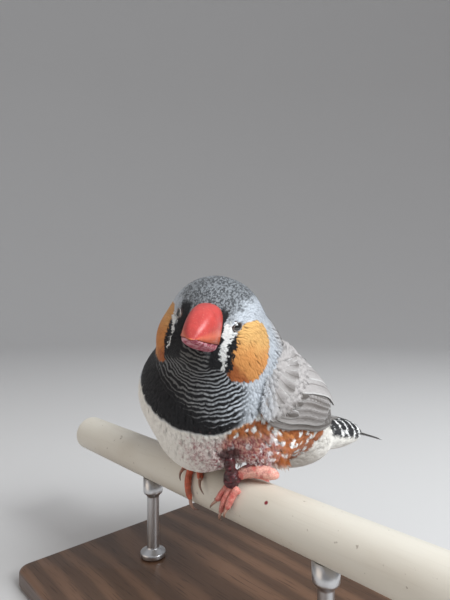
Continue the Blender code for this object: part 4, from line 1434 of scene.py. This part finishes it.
def toe(spot, turns):
    """A toe bent round the perch: its radius swells at each joint, steps down at every scale across its
    back, and fills out underneath into pads that rest on the perch."""
    t = np.linspace(0, 1, TOE_ROWS)
    path, out = on_perch(np.interp(t, (0, 1), spot), np.interp(t, (0, 1), turns), TOE_RUN)
    radius = TOE_RADIUS * np.interp(t, np.linspace(0, 1, len(TOE_SWELL)), TOE_SWELL)
    scales = max(6, round(abs(turns[1] - turns[0]) * TOE_RUN * pi / 180 / TOE_SCALE))
    angle = circle(TOE_COLUMNS)
    back = np.clip(np.cos(angle), 0, 1) ** 0.6
    under = np.clip(-np.cos(angle), 0, 1) ** 0.8
    relief = (0.055 * (1 - (t * scales) % 1.0) ** 0.7)[:, None] * back
    pads = under * (0.20 + 0.16 * np.abs(np.sin(t * scales * pi / 2.5)))[:, None]
    radii = radius[:, None] * (0.96 + relief + pads) * round_ends(t, 14)[:, None]
    return tube(path, radii, out, TOE_COLUMNS, 0.92)


def claw(spot, turns, bend):
    """A claw that arches off the perch by a sine and thins from the toe's end to its point."""
    t = np.linspace(0, 1, CLAW_ROWS)
    way = 1 if turns[1] > turns[0] else -1
    bends = turns[1] + way * (bend * t - 3 * (1 - t))
    drift = (spot[1] - spot[0]) / abs(turns[1] - turns[0])
    x = spot[1] + drift * np.abs(bends - turns[1])
    path, out = on_perch(x, bends, TOE_RUN + CLAW_ARCH * np.sin(pi * t))
    radii = (CLAW_RADIUS + (CLAW_TIP_RADIUS * 0.6 - CLAW_RADIUS) * t**1.2) * np.sqrt(1 - t**16)
    return tube(path, radii, out, CLAW_COLUMNS, 0.8)


def curve_through(places, count):
    """A smooth curve: cubics through the places, each left along the line between its neighbours."""
    places = np.array(places, float)
    padded = np.concatenate([2 * places[:1] - places[1:2], places, 2 * places[-1:] - places[-2:-1]])
    at = np.linspace(0, len(places) - 1, count)
    i = np.minimum(at.astype(int), len(places) - 2)
    t = (at - i)[:, None]
    a, b, c, d = (padded[i + k] for k in range(4))
    return 0.5 * (2 * b + (c - a) * t + (2 * a - 5 * b + 4 * c - d) * t**2 + (3 * b - a - 3 * c + d) * t**3)


def add_feet():
    """Toes, claws and legs. The left foot is swollen, and its toes lie closer together."""
    for side, toes in TOES.items():
        swollen = side == "left"
        digits, claws = [], []
        for spot, turns, bend in toes.values():
            if swollen:
                spot = tuple(LEFT_FOOT_X + (x - LEFT_FOOT_X) * LEFT_TOES_CLOSE for x in spot)
            start = turns[0] - LEFT_TOES_BACK if swollen and turns[0] > 0 else turns[0]
            digits.append(toe(spot, (start, turns[1])))
            claws.append(claw(spot, turns, bend))
        hurt = {"hurt": np.full((len(digits), *digits[0].shape[:2]), 0.55 if swollen else 0.0)}
        add_tubes(f"toes_{side}", digits, LegFinish, tuple(f"{name}_{side}" for name in toes), hurt)
        nodes = tuple(f"claw_{name[-1]}_{side}" for name in toes)
        add_tubes(f"claws_{side}", claws, ClawFinish, nodes)
        places, radii = TARSI[side]
        t = np.linspace(0, 1, LEG_ROWS)
        radius = np.interp(t, np.linspace(0, 1, len(radii)), radii) * round_ends(t, 8)
        angle = circle(LEG_COLUMNS)
        lumps = 0.03 * np.sin(t * 44)[:, None] * np.sin(angle * 5)
        lumps += 0.04 * np.sin(t * 9 + 1)[:, None] * np.cos(angle * 2)
        up = np.array([0, 0, 1.0])
        leg = tube(curve_through(places, LEG_ROWS), radius[:, None] * (1 + lumps), up, LEG_COLUMNS)
        hurt = {"hurt": np.full(leg.shape[:-1], float(swollen))}
        add_tubes(f"leg_{side}", [leg], LegFinish, (f"tarsus_{side}",), hurt)


def add_clot():
    """The dried clot on the left foot and the matted strand that ties it to the belly: a tube round a
    curve, its radius swollen where the clot is, with crossed sines of three sizes standing on it."""
    t = np.linspace(0, 1, CLOT_ROWS)
    radius = np.interp(t, *CLOT_RADII) * round_ends(t, 12)
    angle = circle(CLOT_COLUMNS)
    a, b = t[:, None] * 5.0, np.cos(angle) + 2 * np.sin(angle)
    lumps = 0.08 * np.sin(5 * a + 1) * np.sin(2 * b) + 0.035 * np.sin(11 * a + 3 * np.cos(angle))
    lumps += 0.03 * np.sin(23 * a + 5 * np.sin(angle)) * np.cos(7 * np.cos(angle))
    path = curve_through(CLOT_PATH, CLOT_ROWS)
    places = tube(path, radius[:, None] * (1 + lumps), np.array([0, -1.0, 0.2]), CLOT_COLUMNS)
    add_tubes("clot_lumpy", [places], ClotFinish, ("clot_left_foot",))


# The perch and the stand


ROD_FOOT, ROD_RADIUS, ROD_CRADLE, ROD_ROUNDING = 3.4, 1.6, 2.6, 0.35
ROD_FOOT_HIGH, ROD_CRADLE_HIGH, CRADLE_SLACK = 1.2, 4.0, 0.08
ROD_COLUMNS, DISC_STEPS = 56, 14
PERCH_ROUNDING, PERCH_UNEVEN = 0.9, 0.004
PERCH_ROWS, PERCH_COLUMNS, PERCH_CORNER_STEPS = 70, 72, 8
BASE_CORNER, BASE_STEPS = 3.0, 7


def turned_grid(profile, around):
    """A profile of (radius, height) turned round the upright, as rings."""
    radius, height = np.array(profile, float)[..., None].swapaxes(0, 1)
    angle = circle(around)
    return together(radius * np.cos(angle), radius * np.sin(angle), height)


def rounded(corners, radius, steps=6):
    """A profile's corners turned into arcs: the curve between a step before and a step after each."""
    corners = np.array(corners, float)
    out = [corners[:1]]
    t = np.linspace(0, 1, steps)[:, None]
    for before, corner, after in zip(corners[:-2], corners[1:-1], corners[2:]):
        room = min(radius, 0.45 * np.linalg.norm(before - corner), 0.45 * np.linalg.norm(after - corner))
        start, end = corner + unit(before - corner) * room, corner + unit(after - corner) * room
        out.append((1 - t) ** 2 * start + 2 * t * (1 - t) * corner + t**2 * end)
    return np.concatenate([*out, corners[-1:]])


def add_perch():
    """A cylinder along X with its cut ends rounded over, and a very slight unevenness along it."""
    low, high = PERCH_LOW[0] - PERCH_AT[0], PERCH_HIGH[0] - PERCH_AT[0]
    corners = [(0, low), (PERCH_RADIUS, low), (PERCH_RADIUS, high), (0, high)]
    profile = rounded(corners, PERCH_ROUNDING, PERCH_CORNER_STEPS)
    middle = np.linspace(low + 2, high - 2, PERCH_ROWS)
    split = len(profile) // 2
    body = np.stack([PERCH_RADIUS * (1 - PERCH_UNEVEN * (1 + np.sin(middle * 0.21)) / 2), middle], -1)
    rings = turned_grid(np.concatenate([profile[:split], body, profile[split:]]), PERCH_COLUMNS)
    add_tubes("perch_length", [rings[..., [2, 0, 1]]], PerchFinish, ("perch",))


def add_rods():
    """Two rods turned from a profile, their tops hollowed by the perch's own cylinder."""
    for number in (1, 2):
        low, high = (np.array(corner) / MM - PERCH_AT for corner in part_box(f"stand_rod_{number}"))
        x, floor, top = (low[0] + high[0]) / 2, low[2], high[2]
        foot, cradle = floor + ROD_FOOT_HIGH, top - ROD_CRADLE_HIGH
        corners = [(0, floor), (ROD_FOOT, floor), (ROD_FOOT, foot), (ROD_RADIUS, foot + 1.0)]
        corners += [(ROD_RADIUS, cradle - 1.0), (ROD_CRADLE, cradle), (ROD_CRADLE, top + 1.0)]
        disc = np.stack([np.linspace(ROD_CRADLE, 0, DISC_STEPS), np.full(DISC_STEPS, top + 1.0)], -1)
        rings = turned_grid(np.concatenate([rounded(corners, ROD_ROUNDING)[:-1], disc]), ROD_COLUMNS)
        saddle = -np.sqrt((PERCH_RADIUS + CRADLE_SLACK) ** 2 - rings[..., 1] ** 2)
        rings[..., 2] = np.minimum(rings[..., 2], np.minimum(saddle, top))
        add_tubes(f"rod_{number}", [rings + np.array([x, 0, 0])], RodFinish, (f"stand_rod_{number}",))


def add_base():
    """A flat block: rings whose corners are rounded, stepped in over the top and bottom edges by an arc."""
    low, high = (np.array(corner) / MM - PERCH_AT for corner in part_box("stand_base"))
    edge = bpy.context.scene.finch_stand.edge / MM
    middle, half = (low + high) / 2, (high - low) / 2
    arc = np.linspace(0, pi / 2, BASE_STEPS)
    under, over = edge * (1 - np.sin(arc)), edge * (1 - np.cos(arc))
    inset = np.concatenate([[half[1]], under, over, [half[1]]])[:, None, None]
    height = np.concatenate([[low[2]], low[2] + over, high[2] - under, [high[2]]])[:, None, None]
    angle = np.concatenate([arc + quarter * pi / 2 for quarter in range(4)])
    angle = np.append(angle, angle[0])
    ring = np.stack([np.cos(angle), np.sin(angle)], -1)
    quarter = np.append(np.repeat(np.arange(4), BASE_STEPS), 0)
    sign = np.stack([np.where(np.isin(quarter, (0, 3)), 1, -1), np.where(quarter < 2, 1, -1)], -1)
    radius = np.maximum(BASE_CORNER - inset, 0.0)
    flat = sign * np.maximum(half[:2] - BASE_CORNER - np.maximum(inset - BASE_CORNER, 0), 0) + ring * radius
    places = np.concatenate([flat + middle[:2], np.broadcast_to(height, flat.shape[:2] + (1,))], -1)
    add_tubes("base_block", [places], WoodFinish, ("stand_base",))


# Finishes of the bare parts and the stand


class TailFinish(Finish):
    """Tail quills: brown black, a little paler at the edges, with fine barbs."""

    name = "tail"
    constants = {"Roughness": 0.5, "Specular IOR Level": 0.4}

    def paint(self, colours):
        across, along = self.vane()
        out = abs(across - 0.5) * 2
        streak = self.noise(self.stretch(self.place(), (1, 0.3, 1)), 2600)
        worn = self.rises(out, 0.60, 1.0) * 0.6 + 0.25 + self.rises(streak, 0.5, 0.75) * 0.18
        self.colour(self.mix(worn + self.fact("tone") * 0.08, colours.black, colours.quill))
        self.bump(self.sine((along * 34 - out * 9) * (2 * pi)), 0.35, 0.00003)


class BillFinish(Finish):
    """Horn: coral red above, dull purple red below, orange at the cutting edges, scuffed and flaked."""

    name = "bill"
    slot = "bill"
    constants = {"Subsurface Weight": 0.10, "Subsurface Radius": (0.0012, 0.0004, 0.0002)}

    def paint(self, colours):
        head = self.fact("head_at", True)
        x, y, _ = self.parts(head)
        upper = self.fact("upper")
        around, along = self.vane()
        cloudy, crust = self.noise(head, 0.55, 3.0), self.noise(head, 1.5, 5.0)
        fine = self.noise(self.stretch(head, (2.6, 0.8, 2.6)), 1.6, 3.0)
        edge = self.rises(abs(self.sine(around * (2 * pi))), 0.34, 0.05) * upper
        root = self.rises(y, -11.5, -8.6)
        red = self.mix(self.rises(cloudy, 0.35, 0.70) * 0.45, colours.bill, dim(colours.bill, 0.62))
        # Painted shade: the upper mandible's right side, away from the light, is a darker red, less so
        # towards the tip.
        shaded_side = self.rises(x + self.rises(y, -9, -18) * 1.5 + cloudy, -0.6, -2.4) * upper
        red = self.mix(shaded_side * 0.75, red, dim(colours.bill, (0.70, 0.28, 0.35)))
        orange = edge * 0.45 + root * 0.25 + self.rises(along, 0.86, 1.0) * 0.4
        red = self.mix(orange, red, colours.bill_edge)
        flaked = self.rises(crust, 0.49, 0.54) * 0.75
        low = self.mix(flaked, colours.lower_bill, tuple(0.9 * part + 0.32 for part in colours.lower_bill))
        low = self.mix(self.rises(crust, 0.42, 0.30) * 0.7, low, dim(colours.lower_bill, 0.3))
        pale = self.rises(fine, 0.60, 0.74) * 0.22
        self.colour(self.mix(pale, self.mix(upper, low, red), (0.86, 0.46, 0.36)))
        self.roughness(fine * 0.20 + 0.26 + (1 - upper) * 0.16)
        self.bump(fine * 0.4 + crust * ((1 - upper) * 3.5 + 0.25), 0.6, 0.00014)


class EyeFinish(Finish):
    """A dark wet eye: a black pupil in a deep brown iris under a clear glossy coat."""

    name = "eye"
    slot = "eye"
    constants = {"Roughness": 0.12, "Coat Weight": 1.0, "Coat Roughness": 0.02, "Specular IOR Level": 0.5}

    def paint(self, colours):
        ring = self.fact("from_axis")
        iris = self.rises(ring, 0.85, 1.0) * self.rises(ring, 1.75, 1.5)
        streak = self.noise(self.place(), 3000)
        self.colour(self.mix(iris * (streak * 0.8 + 0.2), (0.004, 0.003, 0.003), colours.iris))


class LidFinish(Finish):
    """Bare lids: greyish pink skin with fine creases, darker towards the feathers."""

    name = "eyelids"
    slot = "eye"
    constants = {"Roughness": 0.5, "Subsurface Weight": 0.08, "Subsurface Radius": (0.001, 0.0004, 0.0003)}

    def paint(self, colours):
        _, along = self.vane()
        skin = self.noise(self.place(), 2600, 3.0)
        colour = self.mix(self.rises(along, 0.30, 0.12), dim(colours.lid, 0.8), dim(colours.lid, 1.1))
        self.colour(self.mix(self.rises(skin, 0.4, 0.7) * 0.2, colour, dim(colours.lid, 0.4)))
        self.bump(skin, 0.4, 0.00008)


class LegFinish(Finish):
    """Leg skin: orange scales with paler seams, and where it is swollen pale pink with reddened creases."""

    name = "legs"
    slot = "leg"
    constants = {"Subsurface Weight": 0.12, "Subsurface Radius": (0.0015, 0.0005, 0.0003)}

    def paint(self, colours):
        place = self.place()
        hurt = self.fact("hurt")
        cloudy, fine = self.noise(place, 700, 3.0), self.noise(place, 3400, 3.0)
        colour = self.mix(self.rises(cloudy, 0.35, 0.7), colours.leg, dim(colours.leg, 0.6))
        pale = self.mix(self.rises(cloudy, 0.42, 0.66), colours.hurt_leg, (0.62, 0.16, 0.13))
        pale = self.mix(self.rises(hurt, 0.85, 0.6) * 0.45, pale, colours.bill)
        colour = self.mix(self.rises(hurt, 0.0, 0.5), colour, pale)
        scales = {"Vector": place, "Scale": 1900}
        seam = self.node("ShaderNodeTexVoronoi", {"feature": "DISTANCE_TO_EDGE"}, scales)
        seam = self.rises(seam, 0.10, 0.02)
        colour = self.mix(seam * 0.35, colour, (0.30, 0.10, 0.07))
        blot = self.rises(self.noise(place, 1100, 3.0), 0.56, 0.66) * hurt
        self.colour(self.mix(blot * 0.40, colour, colours.stain))
        self.roughness(fine * 0.25 + 0.32)
        self.bump(fine * 0.5 - seam * 0.8, 0.5, 0.0001)


class ClawFinish(Finish):
    """Claws: pinkish brown horn, darker towards the point, streaked along it."""

    name = "claws"
    slot = "claw"
    constants = {"Roughness": 0.34, "Coat Weight": 0.2}

    def paint(self, colours):
        _, along = self.vane()
        streak = self.noise(self.stretch(self.place(), (1, 1, 0.4)), 3000)
        dark = self.rises(along, 0.25, 1.0) * 0.7 + self.rises(streak, 0.45, 0.7) * 0.25
        self.colour(self.mix(dark, colours.claw, (0.05, 0.025, 0.02)))
        self.bump(streak, 0.3, 0.00004)


class ClotFinish(Finish):
    """Dried blood: near black red, with painted highlight where it stands up and painted shade in the
    creases.
    """

    name = "dried_clot"
    slot = "clot"
    constants = {"Coat Weight": 0.35, "Coat Roughness": 0.15}

    def paint(self, colours):
        place = self.place()
        lumps, fine = self.noise(place, 1300, 3.0), self.noise(place, 4200, 3.0)
        # Painted highlight and shade: a lighter red on the lumps that stand up and near black in the creases,
        # from the same noise as the relief.
        self.colour(self.mix(self.rises(lumps, 0.50, 0.80), colours.dried, dim(colours.stain, 0.75)))
        self.roughness(fine * 0.4 + 0.2)
        self.bump(lumps + fine * 0.5, 0.7, 0.0002)


PERCH_SPOTS = (((16.6, -11.8, 34.3), 0.42), ((9.2, -12.6, 30.2), 0.2), ((4.6, -12.6, 33.0), 0.5))


class PerchFinish(Finish):
    """Smooth off-white perch: faint drawn lines along it, worn patches, specks of dirt, dried spots."""

    name = "perch"
    slot = "perch"
    constants = {"Coat Weight": 0.12, "Coat Roughness": 0.3}

    def paint(self, colours):
        place = self.place()
        cloudy = self.noise(self.stretch(place, (1, 2, 2)), 45, 3.0)
        drawn = self.noise(self.stretch(place, (0.04, 1, 1)), 2600)
        speck = self.noise(place, 900)
        colour = self.mix(self.rises(cloudy, 0.40, 0.72) * 0.45, colours.perch, (0.57, 0.50, 0.40))
        colour = self.mix(self.rises(drawn, 0.55, 0.75) * 0.14, colour, (0.50, 0.44, 0.36))
        colour = self.mix(self.rises(speck, 0.70, 0.76) * 0.55, colour, (0.20, 0.14, 0.10))
        body = self.stretch(place, (1 / MM, 1 / MM, 1 / MM))
        for spot, size in PERCH_SPOTS:
            ragged = self.distance(body, spot) + (cloudy + speck) * 0.3
            colour = self.mix(self.rises(ragged, size + 0.45, size + 0.15), colour, colours.stain)
        self.colour(colour)
        self.roughness(cloudy * 0.18 + 0.34 + drawn * 0.06)
        self.bump(drawn * 0.3 + cloudy * 0.2, 0.3, 0.00008)


class RodFinish(Finish):
    """Turned steel: fine rings left by the tool, and slightly smeared."""

    name = "turned_steel"
    slot = "rod"
    constants = {"Metallic": 1.0}

    def paint(self, colours):
        place = self.place()
        rings = self.noise(self.stretch(place, (0.02, 0.02, 1)), 9000)
        smear = self.noise(place, 160, 3.0)
        self.colour(self.mix(smear * 0.3, colours.rod, dim(colours.rod, 0.8)))
        self.roughness(rings * 0.12 + smear * 0.14 + 0.20)
        self.bump(rings, 0.25, 0.00003)


class WoodFinish(Finish):
    """Stained wood: growth rings cut lengthwise along X, long pores, and a satin varnish."""

    name = "stained_wood"
    slot = "stand"
    constants = {"Coat Weight": 0.25, "Coat Roughness": 0.25}

    def paint(self, colours):
        place = self.place()
        bend = self.noise(self.stretch(place, (0.25, 1, 1)), 22, 3.0)
        _, y, z = self.parts(place)
        rings = self.sine((y * 260 + z * 420 + bend * 9) * (2 * pi) * 0.5)
        pores = self.noise(self.stretch(place, (0.05, 1, 1)), 2400)
        grain = self.rises(rings, -0.6, 1.0)
        colour = self.mix(grain * 0.7, colours.wood, dim(colours.wood, 2.1))
        self.colour(self.mix(self.rises(pores, 0.56, 0.70) * 0.6, colour, dim(colours.wood, 0.35)))
        self.roughness(pores * 0.2 + 0.34)
        self.bump(pores * -0.6 + grain * 0.2, 0.35, 0.00006)


class FloorFinish(Finish):
    """A plain pale floor with the faintest mottling."""

    name = "pale_floor"
    constants = {"Roughness": 0.85, "Specular IOR Level": 0.2}

    def paint(self, colours):
        mottle = self.noise(self.place(), 6)
        self.colour(self.mix(mottle * 0.12, colours.floor, dim(colours.floor, 0.93)))


# The stage


def add_light(name, place, target, energy, size, colour):
    data = bpy.data.lights.new(name, "AREA")
    data.energy = energy
    data.size = size
    data.color = colour
    light = bpy.data.objects.new(name, data)
    light.location = place
    light.rotation_euler = (target - light.location).to_track_quat("-Z", "Y").to_euler()
    bpy.context.scene.collection.objects.link(light)


FLOOR_FLAT, FLOOR_BEND, FLOOR_HIGH = 0.7, 0.8, 1.25
FLOOR_ROWS, FLOOR_COLUMNS = 24, 96
KEY_PLACE, KEY_SIZE = (0.34, -0.26, 0.36), 0.32
WARM_PLACE, WARM_SIZE, WARM_SHARE = (-0.45, -0.20, 0.12), 0.4, 0.10
CLIP_START = 0.005
SKY, COOL_LIGHT, WARM_LIGHT = (0.93, 0.95, 1.0), (0.93, 0.97, 1.0), (1.0, 0.86, 0.72)
BODY_MIDDLE = np.array([4.0, 0.0, 22.0])


def add_stage():
    """A floor that curves up all round into a pale wall, a pale world, a cool soft key from the viewer's
    upper right and a warm one from the left, and the camera level with the bird's head."""
    studio = bpy.context.scene.finch_studio
    scene = bpy.context.scene
    rise = np.linspace(0, pi / 2, FLOOR_ROWS)
    profile = [(0, 0), *zip(FLOOR_FLAT + FLOOR_BEND * np.sin(rise), FLOOR_BEND * (1 - np.cos(rise)))]
    profile.append((FLOOR_FLAT + FLOOR_BEND, FLOOR_HIGH))
    places = turned_grid(profile, FLOOR_COLUMNS)
    mesh = bpy.data.meshes.new("floor")
    mesh.from_pydata(places.reshape(-1, 3).tolist(), [], grid_faces(1, *places.shape[:2]).tolist())
    mesh.shade_smooth()
    mesh.materials.append(finish_of(FloorFinish))
    floor = bpy.data.objects.new("floor", mesh)
    scene.collection.objects.link(floor)

    world = bpy.data.worlds.new("studio")
    world.use_nodes = True
    background = world.node_tree.nodes["Background"]
    background.inputs["Color"].default_value = (*SKY, 1.0)
    background.inputs["Strength"].default_value = studio.fill
    scene.world = world

    aim = Vector((PERCH_AT + BODY_MIDDLE) * MM)
    right = Vector((cos(studio.turn), sin(studio.turn), 0))
    ahead = Vector((-sin(studio.turn), cos(studio.turn), 0))
    up = Vector((0, 0, 1))
    for name, (x, y, z), energy, size, colour in (
        ("key", KEY_PLACE, studio.key, KEY_SIZE, COOL_LIGHT),
        ("warm", WARM_PLACE, studio.key * WARM_SHARE, WARM_SIZE, WARM_LIGHT),
    ):
        add_light(name, aim + right * x + ahead * y + up * z, aim, energy, size, colour)

    data = bpy.data.cameras.new("camera")
    data.lens = studio.lens
    data.clip_start = CLIP_START
    camera = bpy.data.objects.new("camera", data)
    camera.location = tuple(PERCH_AT * MM + np.array(studio.camera))
    camera.rotation_euler = (pi / 2, 0, studio.turn)
    scene.collection.objects.link(camera)
    scene.camera = camera
    scene.view_settings.view_transform = "Standard"


# Operators and the panel


class AddSkin(bpy.types.Operator):
    """Make the skin that carries the coat"""

    bl_idname = "finch.skin"
    bl_label = "Skin"
    bl_options = {"REGISTER", "UNDO"}

    def execute(self, context):
        add_skin()
        return {"FINISHED"}


class AddHeadCoat(bpy.types.Operator):
    """Make the feathers of the face, the crown, the cheeks and the throat"""

    bl_idname = "finch.head_coat"
    bl_label = "Head's feathers"
    bl_options = {"REGISTER", "UNDO"}

    def execute(self, context):
        add_feathers(("face", "crown", "cheek", "throat"))
        return {"FINISHED"}


class AddBodyCoat(bpy.types.Operator):
    """Make the feathers of the neck, the breast, the belly, the flanks, the vent and the back"""

    bl_idname = "finch.body_coat"
    bl_label = "Body's feathers"
    bl_options = {"REGISTER", "UNDO"}

    def execute(self, context):
        add_feathers(("neck", "breast", "belly", "flank", "vent", "back", "rump"))
        add_tuft()
        return {"FINISHED"}


class AddWings(bpy.types.Operator):
    """Make both folded wings: the bed, the quills, the quill coverts and the soft coverts"""

    bl_idname = "finch.wings"
    bl_label = "Wings"
    bl_options = {"REGISTER", "UNDO"}

    def execute(self, context):
        add_wing(1, "wing_left")
        add_wing(-1, "wing_right")
        return {"FINISHED"}


class AddTail(bpy.types.Operator):
    """Make the tail's quills"""

    bl_idname = "finch.tail"
    bl_label = "Tail"
    bl_options = {"REGISTER", "UNDO"}

    def execute(self, context):
        add_tail()
        return {"FINISHED"}


class AddBill(bpy.types.Operator):
    """Make both mandibles"""

    bl_idname = "finch.bill"
    bl_label = "Bill"
    bl_options = {"REGISTER", "UNDO"}

    def execute(self, context):
        add_bill()
        return {"FINISHED"}


class AddEyes(bpy.types.Operator):
    """Make the eyeballs and their lids"""

    bl_idname = "finch.eyes"
    bl_label = "Eyes"
    bl_options = {"REGISTER", "UNDO"}

    def execute(self, context):
        add_eyes()
        add_lids()
        return {"FINISHED"}


class AddFeet(bpy.types.Operator):
    """Make the legs, the toes, the claws and the clot on the left foot"""

    bl_idname = "finch.feet"
    bl_label = "Feet"
    bl_options = {"REGISTER", "UNDO"}

    def execute(self, context):
        add_feet()
        add_clot()
        return {"FINISHED"}


class AddStand(bpy.types.Operator):
    """Make the perch, the rods and the base"""

    bl_idname = "finch.stand"
    bl_label = "Perch and stand"
    bl_options = {"REGISTER", "UNDO"}

    def execute(self, context):
        add_perch()
        add_rods()
        add_base()
        return {"FINISHED"}


class AddStage(bpy.types.Operator):
    """Make the floor, the lights and the camera"""

    bl_idname = "finch.stage"
    bl_label = "Stage"
    bl_options = {"REGISTER", "UNDO"}

    def execute(self, context):
        add_stage()
        return {"FINISHED"}


OPERATORS = (
    AddSkin,
    AddHeadCoat,
    AddBodyCoat,
    AddWings,
    AddTail,
    AddBill,
    AddEyes,
    AddFeet,
    AddStand,
    AddStage,
)
SETTINGS = {
    "finch_plumage": FinchPlumage,
    "finch_bare_parts": FinchBareParts,
    "finch_stand": FinchStand,
    "finch_studio": FinchStudio,
}


class FinchPanel(bpy.types.Panel):
    """Lists the finch's settings and its pieces"""

    bl_idname = "VIEW3D_PT_finch"
    bl_label = "Finch"
    bl_space_type = "VIEW_3D"
    bl_region_type = "UI"
    bl_category = "Finch"

    def draw(self, context):
        for name, group in SETTINGS.items():
            box = self.layout.box()
            box.label(text=group.__doc__)
            for key in group.__annotations__:
                box.prop(getattr(context.scene, name), key)
        for operator in OPERATORS:
            self.layout.operator(operator.bl_idname)


def register():
    for group in SETTINGS.values():
        bpy.utils.register_class(group)
    for operator in OPERATORS:
        bpy.utils.register_class(operator)
    bpy.utils.register_class(FinchPanel)
    for name, group in SETTINGS.items():
        setattr(bpy.types.Scene, name, bpy.props.PointerProperty(type=group))


def unregister():
    for name in SETTINGS:
        delattr(bpy.types.Scene, name)
    bpy.utils.unregister_class(FinchPanel)
    for operator in reversed(OPERATORS):
        bpy.utils.unregister_class(operator)
    for group in reversed(SETTINGS.values()):
        bpy.utils.unregister_class(group)


def main():
    register()
    for operator in OPERATORS:
        family, name = operator.bl_idname.split(".")
        getattr(getattr(bpy.ops, family), name)()


if __name__ == "__main__":
    main()
